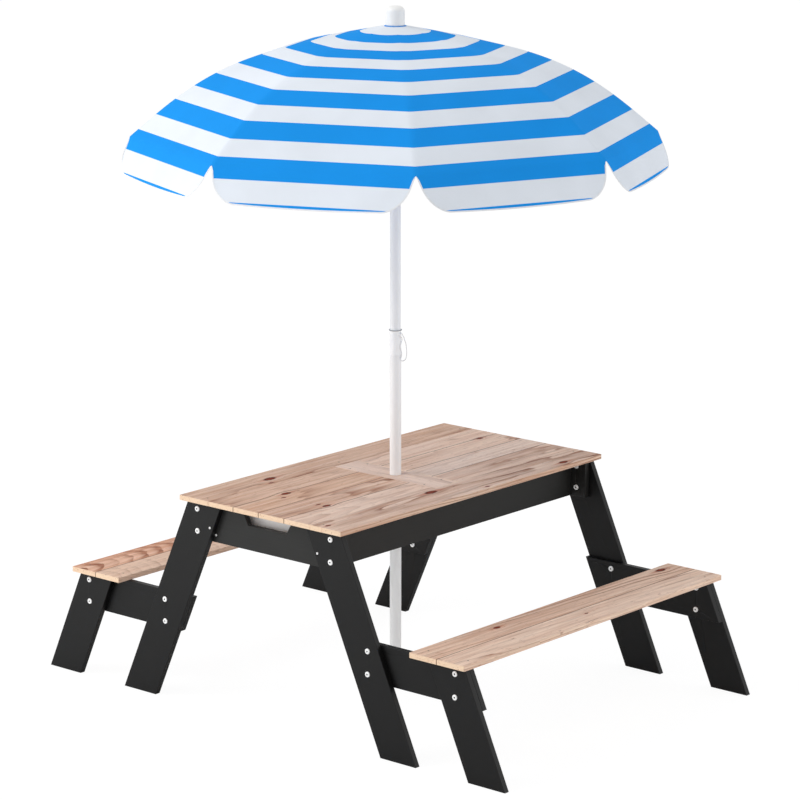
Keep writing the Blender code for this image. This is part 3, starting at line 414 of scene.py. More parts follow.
def pine(board, groups, along, seed, staves, knots=(), straight=False, slant=0.0):
    """Planed pine under a thin matt varnish: reddish growth rings, fine fibre, glue lines and dark knots.

    along is the grain's axis, each glued stave is a tint and how strongly its rings show, each knot is (along,
    across, radius), a straight board was sawn far from the pith, and a slanting one cuts across the rings.
    """
    wood = bpy.context.scene.picnic_wood
    grain, knot = groups
    low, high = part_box(board)
    run, side = (0, 1) if along == "X" else (1, 0)
    start, span = low[side], high[side] - low[side]
    finish, tree = new_finish("planed pine " + board)
    spot = node(tree, "ShaderNodeTexCoord").outputs["Object"]
    parts = node(tree, "ShaderNodeSeparateXYZ", {0: spot}).outputs
    two = node(tree, "ShaderNodeMath", {0: parts[side], 1: start}, operation="SUBTRACT")
    place = node(tree, "ShaderNodeCombineXYZ", {0: parts[run], 1: two, 2: parts[2]})
    across = node(tree, "ShaderNodeMath", {0: two, 1: span}, operation="DIVIDE")
    hearts, halos, barks = [], [], []
    for at, beside, radius in knots:
        found = node(tree, "ShaderNodeGroup", node_tree=knot)
        tree.links.new(place.outputs[0], found.inputs["Place"])
        found.inputs["Centre"].default_value = (at, beside - start, 0)
        found.inputs["Radius"].default_value = radius
        place = found
        for masks, output in ((hearts, "Heart"), (halos, "Halo"), (barks, "Bark")):
            masks.append(found.outputs[output])
    rings = node(tree, "ShaderNodeGroup", node_tree=grain)
    tree.links.new(place.outputs[0], rings.inputs["Place"])
    facts = {"Stave width": span / len(staves), "Ring spacing": wood.ring_spacing, "Seed": seed,
             "Pith offset": 0.13 if straight else 0.0, "Sway": 0.45 if straight or slant else 1.0,
             "Slant": slant, "Pith spread": 0.1 if slant else 1.0}
    for label, value in facts.items():
        rings.inputs[label].default_value = value
    late, fibre, joint, band, dash = rings.outputs
    tint = node(tree, "ShaderNodeValToRGB", {0: across})
    tint.color_ramp.interpolation = "CONSTANT"
    # The ramp's alpha carries how strongly a stave's rings show, as a share of the strongest
    strongest = 4.0
    for k, (tone, figure) in enumerate(staves):
        stop = tint.color_ramp.elements[0] if k == 0 else tint.color_ramp.elements.new(k / len(staves))
        stop.color = linear(tone)[:3] + [figure / strongest]
    while len(tint.color_ramp.elements) > len(staves):
        tint.color_ramp.elements.remove(tint.color_ramp.elements[-1])
    figure = node(tree, "ShaderNodeMath", {0: tint.outputs["Alpha"], 1: strongest}, operation="MULTIPLY")
    share = node(tree, "ShaderNodeMath", {0: late, 1: figure}, operation="MULTIPLY", use_clamp=True)
    colour = node(tree, "ShaderNodeMix", {0: share, 6: wood.early, 7: wood.late}, data_type="RGBA").outputs[2]
    warm = node(tree, "ShaderNodeMapRange", {0: band, 1: 0.35, 2: 0.75, 3: 0.0, 4: 0.8})
    even = node(tree, "ShaderNodeMath", {0: figure, 1: 1.3}, operation="MINIMUM")
    warm = node(tree, "ShaderNodeMath", {0: warm, 1: even}, operation="MULTIPLY", use_clamp=True)
    colour = node(tree, "ShaderNodeMix", {0: warm, 6: colour, 7: linear("CB9E84")}, data_type="RGBA").outputs[2]
    streak = node(tree, "ShaderNodeMapRange", {0: fibre, 1: 0.25, 2: 0.75, 3: 0.80, 4: 1.16})
    colour = node(tree, "ShaderNodeMix", {0: 1.0, 6: colour, 7: streak}, data_type="RGBA",
                  blend_type="MULTIPLY").outputs[2]
    colour = node(tree, "ShaderNodeMix", {0: 1.0, 6: colour, 7: tint.outputs["Color"]}, data_type="RGBA",
                  blend_type="MULTIPLY").outputs[2]
    from_low = node(tree, "ShaderNodeMath", {0: parts[run], 1: low[run]}, operation="SUBTRACT")
    from_high = node(tree, "ShaderNodeMath", {0: high[run], 1: parts[run]}, operation="SUBTRACT")
    nearest = node(tree, "ShaderNodeMath", {0: from_low, 1: from_high}, operation="MINIMUM")
    sawn = node(tree, "ShaderNodeMapRange", {0: nearest, 1: 0.0003, 2: 0.0012, 3: 0.8, 4: 0.0})
    other_side = node(tree, "ShaderNodeMath", {0: span, 1: two}, operation="SUBTRACT")
    inside = node(tree, "ShaderNodeMath", {0: two, 1: other_side}, operation="MINIMUM")
    inside = node(tree, "ShaderNodeMath", {0: inside, 1: 2 * millimetre}, operation="GREATER_THAN")
    joint = node(tree, "ShaderNodeMath", {0: joint, 1: inside}, operation="MULTIPLY")
    # Each stain lies over the ones before it: sawn ends, resin, knots from their tails inwards, glue
    stains = (((sawn,), wood.sawn_end, 1.0), ((dash,), linear("8E5A44"), 0.55), (halos, linear("B65C3C"), 0.6),
              (hearts, linear("7C3022"), 0.92), (barks, wood.knot, 0.9), ((joint,), linear("6A4232"), 0.85))
    for masks, tone, strength in stains:
        for mask in masks:
            share = node(tree, "ShaderNodeMath", {0: mask, 1: strength}, operation="MULTIPLY")
            colour = node(tree, "ShaderNodeMix", {0: share, 6: colour, 7: tone}, data_type="RGBA").outputs[2]
    rough = node(tree, "ShaderNodeMapRange", {0: fibre, 3: 0.54, 4: 0.70})
    height = node(tree, "ShaderNodeMath", {0: late, 1: 0.4, 2: fibre}, operation="MULTIPLY_ADD")
    height = node(tree, "ShaderNodeMath", {0: height, 1: joint}, operation="SUBTRACT")
    bump = node(tree, "ShaderNodeBump", {"Height": height, "Strength": 0.25, "Distance": 0.1 * millimetre})
    # Varnish sinks into the end grain of a knot and leaves it dull
    sheen = 0.12
    gloss = sheen
    for heart in hearts:
        dull = node(tree, "ShaderNodeMapRange", {0: heart, 3: sheen, 4: 0.02})
        gloss = node(tree, "ShaderNodeMath", {0: dull, 1: gloss}, operation="MINIMUM")
    shader = node(tree, "ShaderNodeBsdfPrincipled",
                  {"Base Color": colour, "Roughness": rough, "Normal": bump, "IOR": 1.5,
                   "Specular IOR Level": gloss})
    node(tree, "ShaderNodeOutputMaterial", {"Surface": shader})
    return finish


def stained(name, turn, tone):
    """Opaque satin black stain on planed softwood: it mirrors the pale floor softly over low ridges of grain."""
    finish, tree = new_finish(name)
    spot = node(tree, "ShaderNodeTexCoord").outputs["Object"]
    lined = node(tree, "ShaderNodeMapping", {"Vector": spot, "Rotation": turn})
    # Growth rings under the stain lie 2 to 4 mm apart
    streak = node(tree, "ShaderNodeVectorMath", {0: lined, 1: (5, 330, 330)}, operation="MULTIPLY")
    grain = node(tree, "ShaderNodeTexNoise", {"Vector": streak, "Scale": 1.0, "Detail": 4.0, "Roughness": 0.6})
    shade = node(tree, "ShaderNodeMapRange", {0: grain.outputs[0], 1: 0.3, 2: 0.7, 3: 0.86, 4: 1.14})
    # Brush strokes leave paler patches of about 110 mm
    cloud = node(tree, "ShaderNodeTexNoise", {"Vector": spot, "Scale": 9.0, "Detail": 2.0})
    worn = node(tree, "ShaderNodeMapRange", {0: cloud.outputs[0], 1: 0.3, 2: 0.7, 3: 0.93, 4: 1.07})
    shade = node(tree, "ShaderNodeMath", {0: shade, 1: worn}, operation="MULTIPLY")
    colour = node(tree, "ShaderNodeMix", {0: 1.0, 6: tone, 7: shade}, data_type="RGBA",
                  blend_type="MULTIPLY").outputs[2]
    rough = node(tree, "ShaderNodeMapRange", {0: grain.outputs[0], 3: 0.40, 4: 0.56})
    bump = node(tree, "ShaderNodeBump", {"Height": grain.outputs[0], "Strength": 0.3, "Distance": 0.12 * millimetre})
    shader = node(tree, "ShaderNodeBsdfPrincipled",
                  {"Base Color": colour, "Roughness": rough, "Normal": bump, "IOR": 1.5,
                   "Specular IOR Level": 0.24})
    node(tree, "ShaderNodeOutputMaterial", {"Surface": shader})
    return finish


def eased(name, finish, body):
    """Board with its long edges rounded as the planer leaves them, in place of the CAD node."""
    easing = bpy.context.scene.picnic_wood.easing
    shape = bmesh.new()
    shape.from_mesh(frame["nodes"][name].data)
    bmesh.ops.transform(shape, matrix=frame["nodes"][name].matrix_world, verts=shape.verts)
    bmesh.ops.remove_doubles(shape, verts=shape.verts, dist=weld)
    bmesh.ops.dissolve_limit(shape, angle_limit=math.radians(1), verts=shape.verts, edges=shape.edges)
    shortest, bluntest = 8 * millimetre, math.radians(50)
    long_edges = [e for e in shape.edges if len(e.link_faces) == 2 and e.calc_length() > shortest
                  and e.calc_face_angle(0) > bluntest]
    bmesh.ops.bevel(shape, geom=long_edges, offset=easing, offset_type="OFFSET", segments=2, profile=0.5,
                    affect="EDGES", clamp_overlap=True)
    bmesh.ops.triangulate(shape, faces=[f for f in shape.faces if len(f.verts) > 4])
    mesh = bpy.data.meshes.new(name + "_draft")
    shape.to_mesh(mesh)
    shape.free()
    mesh.shade_smooth()
    draft = new_object(name + "_draft", mesh)
    weigh = draft.modifiers.new("Flat faces", "WEIGHTED_NORMAL")
    weigh.mode, weigh.weight = "FACE_AREA", 100
    mesh = final_mesh("eased_" + name, draft)
    mesh.materials.clear()
    mesh.materials.append(finish)
    return new_piece("eased_" + name, mesh, body, (name,))


class FinishPine(bpy.types.Operator):
    """Give the tabletop, lids and benches their pine"""
    bl_idname = "picnic.finish_pine"
    bl_label = "Finish the pine boards"

    def execute(self, context):
        groups = (grain_group(), knot_group())
        # Grain axis, seed, staves from the lowest across, knots, and whether the board is straight or slanting
        plan = {
            "top_board_front": ("X", 3.0, (("F6EFE9", 1.0),),
                                ((-0.075, -0.172, 0.0100), (0.345, -0.225, 0.0080), (0.05, -0.236, 0.004),
                                 (-0.445, -0.190, 0.0045))),
            "top_board_back": ("X", 7.0, (("EFE1D5", 1.0),), ((-0.225, 0.19, 0.0100), (-0.25, 0.167, 0.0040))),
            "lid_left": ("X", 12.0, (("FFF8F2", 0.8), ("F6EAE0", 1.3), ("F6E6D7", 1.2), ("F6E8DC", 1.0)),
                         ((-0.32, -0.073, 0.0065), (-0.325, -0.055, 0.0045), (-0.30, 0.07, 0.0080),
                          (-0.33, 0.052, 0.004))),
            "lid_right": ("X", 21.0, (("FEF7F1", 0.9), ("FFFDFB", 0.7), ("FDF5EE", 0.9), ("FFF8F2", 0.9)),
                          ((0.40, 0.075, 0.0060),)),
            "cross_board": ("Y", 5.0, (("FCF5F1", 0.3),), ()),
            "bench_front": ("X", 31.0, (("FFFAF5", 0.8), ("FDF4EC", 1.1)),
                            ((-0.201, -0.471, 0.0060), (-0.020, -0.608, 0.0050), (0.41, -0.467, 0.0085),
                             (0.015, -0.553, 0.003)), True),
            "bench_back": ("X", 43.0, (("FAEFE6", 0.6), ("FFE9DC", 3.6)), ((-0.12, 0.50, 0.006),), False, 0.17),
        }
        for board, how in plan.items():
            eased(board, pine(board, groups, *how), board if board.startswith("lid_") else "frame")
        return {"FINISHED"}


class StainFrame(bpy.types.Operator):
    """Give the legs, bars, beams and aprons their black stain"""
    bl_idname = "picnic.stain_frame"
    bl_label = "Stain the frame"

    def execute(self, context):
        lean = math.atan(leg_lean)
        quarter = math.pi / 2
        wood = context.scene.picnic_wood
        # Beams, aprons, ledges and the bearer take the paler stain, which paints the light that they catch
        painted_light_along_x = stained("black stain along the table with painted light", (0, 0, 0), wood.rail_stain_with_painted_light)
        painted_light_along_y = stained("black stain across the table with painted light", (0, 0, quarter), wood.rail_stain_with_painted_light)
        bars = stained("black stain on the lower bars", (0, 0, quarter), wood.stain)
        leaning = {"front": stained("black stain on the front legs", (lean, quarter, 0), wood.stain),
                   "back": stained("black stain on the back legs", (-lean, quarter, 0), wood.stain)}
        boards = []
        for side, _ in sides:
            for end, _ in ends:
                place = "_" + side + "_" + end
                boards += [("table_leg" + place, leaning[side]), ("bench_leg" + place, leaning[side]),
                           ("lower_bar" + place, bars)]
            boards += [("apron_" + side, painted_light_along_x), ("bin_ledge_" + side, painted_light_along_x)]
        boards += [("end_beam_" + end, painted_light_along_y) for end, _ in ends] + [("cross_bearer", painted_light_along_y)]
        for board, finish in boards:
            eased(board, finish, "frame")
        return {"FINISHED"}


# Metal and plastic

def powder_coat(name, colour):
    """Powder coat on steel: smooth and slightly glossy, with a faint orange peel."""
    finish, tree = new_finish(name)
    spot = node(tree, "ShaderNodeTexCoord").outputs["Object"]
    # The peel's cells are about 1 mm across
    peel = node(tree, "ShaderNodeTexNoise", {"Vector": spot, "Scale": 900.0, "Detail": 1.0})
    rough = node(tree, "ShaderNodeMapRange", {0: peel.outputs[0], 3: 0.28, 4: 0.38})
    bump = node(tree, "ShaderNodeBump", {"Height": peel.outputs[0], "Strength": 0.1, "Distance": 0.05 * millimetre})
    shader = node(tree, "ShaderNodeBsdfPrincipled",
                  {"Base Color": colour, "Roughness": rough, "Normal": bump, "IOR": 1.5})
    node(tree, "ShaderNodeOutputMaterial", {"Surface": shader})
    return finish


def moulded(name, colour, haze):
    """Moulded polypropylene: even colour, fine spark-eroded grain, and a little light passing through it."""
    finish, tree = new_finish(name)
    spot = node(tree, "ShaderNodeTexCoord").outputs["Object"]
    # The mould's grain is 0.2 mm; it is drawn at 0.8 mm, so that it shows
    grain = node(tree, "ShaderNodeTexNoise", {"Vector": spot, "Scale": 1250.0, "Detail": 2.0})
    rough = node(tree, "ShaderNodeMapRange", {0: grain.outputs[0], 3: 0.36, 4: 0.50})
    bump = node(tree, "ShaderNodeBump", {"Height": grain.outputs[0], "Strength": 0.12, "Distance": 0.05 * millimetre})
    body = node(tree, "ShaderNodeBsdfPrincipled",
                {"Base Color": colour, "Roughness": rough, "Normal": bump, "IOR": 1.49})
    glow = node(tree, "ShaderNodeBsdfTranslucent", {"Color": colour})
    both = node(tree, "ShaderNodeMixShader", {0: haze, 1: body, 2: glow})
    node(tree, "ShaderNodeOutputMaterial", {"Surface": both})
    return finish


def speckled(name, scale, detail, tones, values):
    """Fine specks between two tones, of so many cells in a metre, on a surface with the given values."""
    finish, tree = new_finish(name)
    spot = node(tree, "ShaderNodeTexCoord").outputs["Object"]
    speck = node(tree, "ShaderNodeTexNoise", {"Vector": spot, "Scale": scale, "Detail": detail})
    dark, light = (linear(tone) for tone in tones)
    colour = node(tree, "ShaderNodeMix", {0: speck.outputs[0], 6: dark, 7: light}, data_type="RGBA").outputs[2]
    shader = node(tree, "ShaderNodeBsdfPrincipled", {"Base Color": colour, **values})
    node(tree, "ShaderNodeOutputMaterial", {"Surface": shader})
    return finish


def rubber():
    """Matt vulcanised rubber, a little dusty."""
    # The dust lies in spots of about 2 mm
    return speckled("grey rubber foot", 420.0, 3.0, ("626262", "727272"), {"Roughness": 0.75})


def zinc_ring_with_painted_shadow():
    """Zinc-plated steel ring: grey, half dull, with a faint crystal bloom; its grey is partly painted shadow, the
    dark line at the collar's lip.
    """
    # The bloom's crystals are about 1 mm across
    return speckled("zinc-plated ring with painted shadow", 800.0, 2.0, ("737475", "8E8F90"), {"Roughness": 0.5, "Metallic": 0.3})


def lacquered_steel():
    """White-lacquered steel fastener: satin, with faint specks from the bath."""
    # The specks are 0.1 mm wide; they are drawn at 0.7 mm, so that they show
    return speckled("white-lacquered fastener", 1500.0, 2.0, ("F0F0EF", "FCFCFB"), {"Roughness": 0.4})


def passivated_steel_in_painted_shade():
    """Yellow-passivated screw head, dulled to a warm grey and darkened further with painted shade, as it is seen in
    its sunk hole.
    """
    # The chromate's patches are 0.1 mm wide; they are drawn at 0.7 mm, so that they show
    return speckled("passivated wood screw in painted shade", 1500.0, 2.0, ("6E5B4C", "8A7766"), {"Roughness": 0.5, "Metallic": 0.6})


def shaded_recess():
    """Bare steel in a driver's recess: grey, rough from the punch, and darker still as painted shade, since it is
    always in its own shade.
    """
    # The punch's scoring is 0.1 mm wide; it is drawn at 0.7 mm, so that it shows
    return speckled("punched steel recess in painted shade", 1400.0, 2.0, ("3C3C3C", "5A5A59"), {"Roughness": 0.6, "Metallic": 0.5})


class FitPole(bpy.types.Operator):
    """Make the pole, its collar and the finial, and finish the moulded and coated parts"""
    bl_idname = "picnic.fit_pole"
    bl_label = "Fit the pole"

    def execute(self, context):
        hardware = context.scene.picnic_hardware
        enamel = powder_coat("powder-coated steel tube", hardware.enamel)
        glaze = powder_coat("powder-coated collar", linear("FFFFFF"))
        plastic = moulded("white moulded plastic", hardware.plastic, 0.03)
        # The bins' plastic is whiter than the other mouldings, as painted light in the shade behind the end beam's
        # notch
        bin_plastic_painted_light = moulded("white bin plastic painted brighter", linear("FEFEFE"), 0.06)
        lower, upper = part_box("pole_lower"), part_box("pole_upper")
        collar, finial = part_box("pole_collar"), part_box("finial")
        wall = 0.8 * millimetre
        ease = 0.3 * millimetre
        for name, (low, high), body in (("pole_lower", lower, "pole_lower"), ("pole_upper", upper, "parasol")):
            outer, inner = high[0], high[0] - wall
            turned("tube_" + name, [(inner, low[2]), (outer, low[2]), (outer, high[2] - ease),
                                    (outer - ease, high[2]), (inner, high[2])], enamel, body, (name,))
        ring, sleeve, top = collar[1][0], lower[1][0], collar[1][2]
        ring_low = top - 1.6 * millimetre
        bore, snug = sleeve - wall, sleeve + 0.05 * millimetre
        turned("collar_sleeve", [(bore, collar[0][2]), (sleeve, collar[0][2]), (sleeve, top - ease),
                                 (sleeve - ease, top), (bore, top)], glaze, "collar", ("pole_collar",))
        # The ring's grey stands partly for the dark shadow line at the collar's lip, as painted shadow
        turned("collar_ring", [(snug, ring_low), (ring - ease, ring_low), (ring, ring_low + ease),
                               (ring, top - 2 * ease), (ring - ease, top - ease), (snug, top - ease)],
               zinc_ring_with_painted_shadow(), "collar", ("pole_collar",))
        # The finial's peg goes down through the cloth, and its cap stands on a low neck just above it
        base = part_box("canopy_1")[1][2] + 0.3 * millimetre
        low, top, widest = finial[0][2], finial[1][2], finial[1][0]
        peg, neck, neck_rise, round_off, crown_rise, chamfer = 0.0049, 0.0200, 0.0015, 0.0130, 0.0012, 0.0004
        profile = [(0, low), (peg, low), (peg, base), (neck, base), (neck, base + neck_rise),
                   (widest - chamfer, base + neck_rise), (widest, base + neck_rise + chamfer)]
        steps = 12
        for k in range(steps + 1):
            angle = k / steps * math.pi / 2
            profile.append((widest - round_off * (1 - math.cos(angle)),
                            top - crown_rise - round_off * (1 - math.sin(angle))))
        for share in (0.75, 0.5, 0.25, 0.0):
            profile.append(((widest - round_off) * share, top - crown_rise * share * share))
        turned("finial_cap", profile, plastic, "parasol", ("finial",))
        seat, rim = base - 0.25 * millimetre, 0.0248
        turned("canopy_washer", [(neck + ease, seat), (rim, seat), (rim, seat + 0.4 * millimetre),
                                 (rim - ease, seat + 0.7 * millimetre), (neck + ease, seat + 0.7 * millimetre)],
               moulded("blue washer", context.scene.picnic_canopy.blue, 0.0), "parasol")
        set_finish(("crown", "runner"), plastic)
        set_finish(("bin_left", "bin_right"), bin_plastic_painted_light)
        set_finish(("pole_foot",), rubber())
        set_finish([kind + str(k + 1) for kind in ("rib_", "stretcher_") for k in range(gore_count)],
                   powder_coat("powder-coated steel rib", hardware.enamel))
        return {"FINISHED"}


class BendClip(bpy.types.Operator):
    """Bend the locking clip from round wire"""
    bl_idname = "picnic.bend_clip"
    bl_label = "Bend the locking clip"

    def execute(self, context):
        wire = 1.2 * millimetre
        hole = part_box("locking_clip")[0][2] + wire
        # Out from the pole, sideways and up, in millimetres: shank, outer bow, and a spring leg round the tube
        route = ((12.6, 0, 0), (17.5, 0, -1.0), (23.0, 0, 2.5), (25.7, 0, 11.0), (25.9, 0, 22.0), (24.6, 0, 37.0),
                 (21.0, -1.0, 50.0), (16.4, -4.0, 61.0), (11.6, -10.2, 66.6), (10.6, -12.0, 61.5), (14.6, -8.4, 53.0),
                 (13.0, -8.6, 44.0), (11.0, -10.8, 36.0), (12.6, -9.0, 26.0), (14.0, -8.0, 16.0), (11.2, -10.8, 6.0))
        curve = bpy.data.curves.new("clip_wire", "CURVE")
        curve.dimensions = "3D"
        curve.bevel_depth = wire
        curve.bevel_resolution = 3
        curve.resolution_u = 6
        curve.use_fill_caps = True
        spline = curve.splines.new("BEZIER")
        spline.bezier_points.add(len(route) - 1)
        turn = Matrix.Rotation(math.radians(-45), 3, "Z")
        for point, (out, aside, up) in zip(spline.bezier_points, route):
            point.handle_left_type = point.handle_right_type = "AUTO"
            point.co = turn @ Vector((out * millimetre, aside * millimetre, hole + up * millimetre))
        mesh = final_mesh("clip_wire", new_object("clip_draft", curve))
        mesh.shade_smooth()
        mesh.materials.clear()
        mesh.materials.append(powder_coat("enamelled spring wire", context.scene.picnic_hardware.enamel))
        new_piece("clip_wire", mesh, "clip", ("locking_clip",))
        return {"FINISHED"}


# Fastenings

def head_mesh(name, radius, rise, socket, lobes):
    """Round head that starts a little below height zero, with a driver's recess: 6 lobes for a hexagon, 4 a cross."""
    steps = 36

    def recess(angle):
        if lobes == 6:
            return socket / math.cos((angle + math.pi / 6) % (math.pi / 3) - math.pi / 6)
        return socket * (0.45 + 0.55 * abs(math.cos(2 * angle)) ** 3)

    base, bottom = -0.15 * rise, rise - rise * 0.9
    rings = [(lambda a: radius, base), (lambda a: radius, 0.55 * rise), (lambda a: radius * 0.97, 0.80 * rise),
             (lambda a: radius * 0.88, 0.97 * rise), (lambda a: radius * 0.7, rise), (recess, rise),
             (lambda a: recess(a) * 0.92, bottom)]
    vertices, faces = [], []
    for reach, height in rings:
        for k in range(steps):
            angle = 2 * math.pi * k / steps
            vertices.append((reach(angle) * math.cos(angle), reach(angle) * math.sin(angle), height))
    for ring in range(len(rings) - 1):
        for k in range(steps):
            after = (k + 1) % steps
            one, two = ring * steps, (ring + 1) * steps
            faces.append((one + k, one + after, two + after, two + k))
    vertices += [(0, 0, bottom), (0, 0, base)]
    last = (len(rings) - 1) * steps
    for k in range(steps):
        after = (k + 1) % steps
        faces.append((last + k, last + after, len(vertices) - 2))
        faces.append((after, k, len(vertices) - 1))
    mesh = bpy.data.meshes.new(name)
    mesh.from_pydata(vertices, [], faces)
    driven = mesh.attributes.new("recess", "BOOLEAN", "FACE")
    inner = (len(rings) - 2) * steps
    driven.data.foreach_set("value", [min(face.vertices) >= inner for face in mesh.polygons])
    mesh.shade_smooth()
    mesh.set_sharp_from_angle(angle=math.radians(40))
    return mesh


def scatter(name, pattern, places, finish, recess_shade_finish, body):
    """Piece from a Geometry Nodes tree that puts a copy of a head at each place, turned to face outwards."""
    points = bpy.data.meshes.new(name + "_places")
    points.from_pydata([at for at, _ in places], [], [])
    facing = points.attributes.new("facing", "FLOAT_VECTOR", "POINT")
    facing.data.foreach_set("vector", [c for _, way in places for c in way])
    source = new_object(name + "_pattern", pattern)
    tree, (spots, head, size) = group(name + " tree",
                                      (("Geometry", "Geometry"), ("Piece", "Object"), ("Size", "Float")),
                                      (("Geometry", "Geometry"),), "GeometryNodeTree")
    piece = node(tree, "GeometryNodeObjectInfo", {"Object": head})
    way = node(tree, "GeometryNodeInputNamedAttribute", {"Name": "facing"}, data_type="FLOAT_VECTOR")
    turn = node(tree, "FunctionNodeAlignRotationToVector", {"Vector": way.outputs["Attribute"]}, axis="Z")
    scale = node(tree, "ShaderNodeCombineXYZ", {0: size, 1: size, 2: size})
    copies = node(tree, "GeometryNodeInstanceOnPoints",
                  {"Points": spots, "Instance": piece.outputs["Geometry"], "Rotation": turn, "Scale": scale})
    real = node(tree, "GeometryNodeRealizeInstances", {"Geometry": copies})
    done = node(tree, "GeometryNodeSetMaterial", {"Geometry": real, "Material": finish})
    driven = node(tree, "GeometryNodeInputNamedAttribute", {"Name": "recess"}, data_type="BOOLEAN")
    done = node(tree, "GeometryNodeSetMaterial",
                {"Geometry": done, "Selection": driven.outputs["Attribute"], "Material": recess_shade_finish})
    node(tree, "NodeGroupOutput", {"Geometry": done})
    mesh = grown(name, points, tree, {"Piece": source, "Size": 1.0})
    bpy.data.objects.remove(source, do_unlink=True)
    return new_piece(name, mesh, body)


def bolt_places():
    """Heads on the outside of the end frames and nuts on the inside, as (place, outward direction)."""
    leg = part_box("bench_leg_front_right")
    head_rise = 2.0 * millimetre
    outside, inside = leg[1][0] - head_rise, leg[0][0] + head_rise
    places = []
    for _, end in ends:
        for _, side in sides:
            for y, z in bolt_centres:
                places.append(((end * outside, side * y, z), (end, 0, 0)))
                places.append(((end * inside, side * y, z), (-end, 0, 0)))
    return places


def pan_screw_places():
    """Pan-head screws on the outside of the legs and the end beams, as (place, outward direction)."""
    return [((end * x, side * y, z), (end, 0, 0)) for _, end in ends for _, side in sides for x, y, z in pan_screws]


def sunk_screw_places():
    """Wood screws sunk into the tabletop and the benches."""
    top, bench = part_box("cross_board")[1][2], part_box("bench_front")[1][2]
    sunk = 0.55 * millimetre
    places = []
    for _, side in sides:
        for x in board_screws:
            places.append(((x, side * board_screw_y, top - sunk), (0, 0, 1)))
        for _, end in ends:
            places.append(((end * cross_screw[0], side * cross_screw[1], top - sunk), (0, 0, 1)))
            for y in bench_screws:
                places.append(((end * bench_screw_x, side * y, bench - sunk), (0, 0, 1)))
    return places


class DriveFastenings(bpy.types.Operator):
    """Put the bolt heads, nuts and screws in their places"""
    bl_idname = "picnic.drive_fastenings"
    bl_label = "Drive the fastenings"

    def execute(self, context):
        hardware = context.scene.picnic_hardware
        # The recesses' dark grey is painted shade over the bare steel
        lacquer, screw_steel_in_painted_shade, dark = lacquered_steel(), passivated_steel_in_painted_shade(), shaded_recess()
        bolt = head_mesh("bolt_head", hardware.head, 2.2 * millimetre, 1.9 * millimetre, 6)
        scatter("bolt_heads", bolt, bolt_places(), lacquer, dark, "frame")
        pan = head_mesh("pan_head", hardware.screw, 1.5 * millimetre, 1.2 * millimetre, 4)
        scatter("pan_screws", pan, pan_screw_places(), lacquer, dark, "frame")
        # The sunk heads' warm grey includes painted shade from their holes
        sunk = head_mesh("sunk_head", hardware.screw * 0.95, 0.35 * millimetre, 1.5 * millimetre, 4)
        scatter("sunk_screws", sunk, sunk_screw_places(), screw_steel_in_painted_shade, dark, "frame")
        return {"FINISHED"}


# Parasol cover

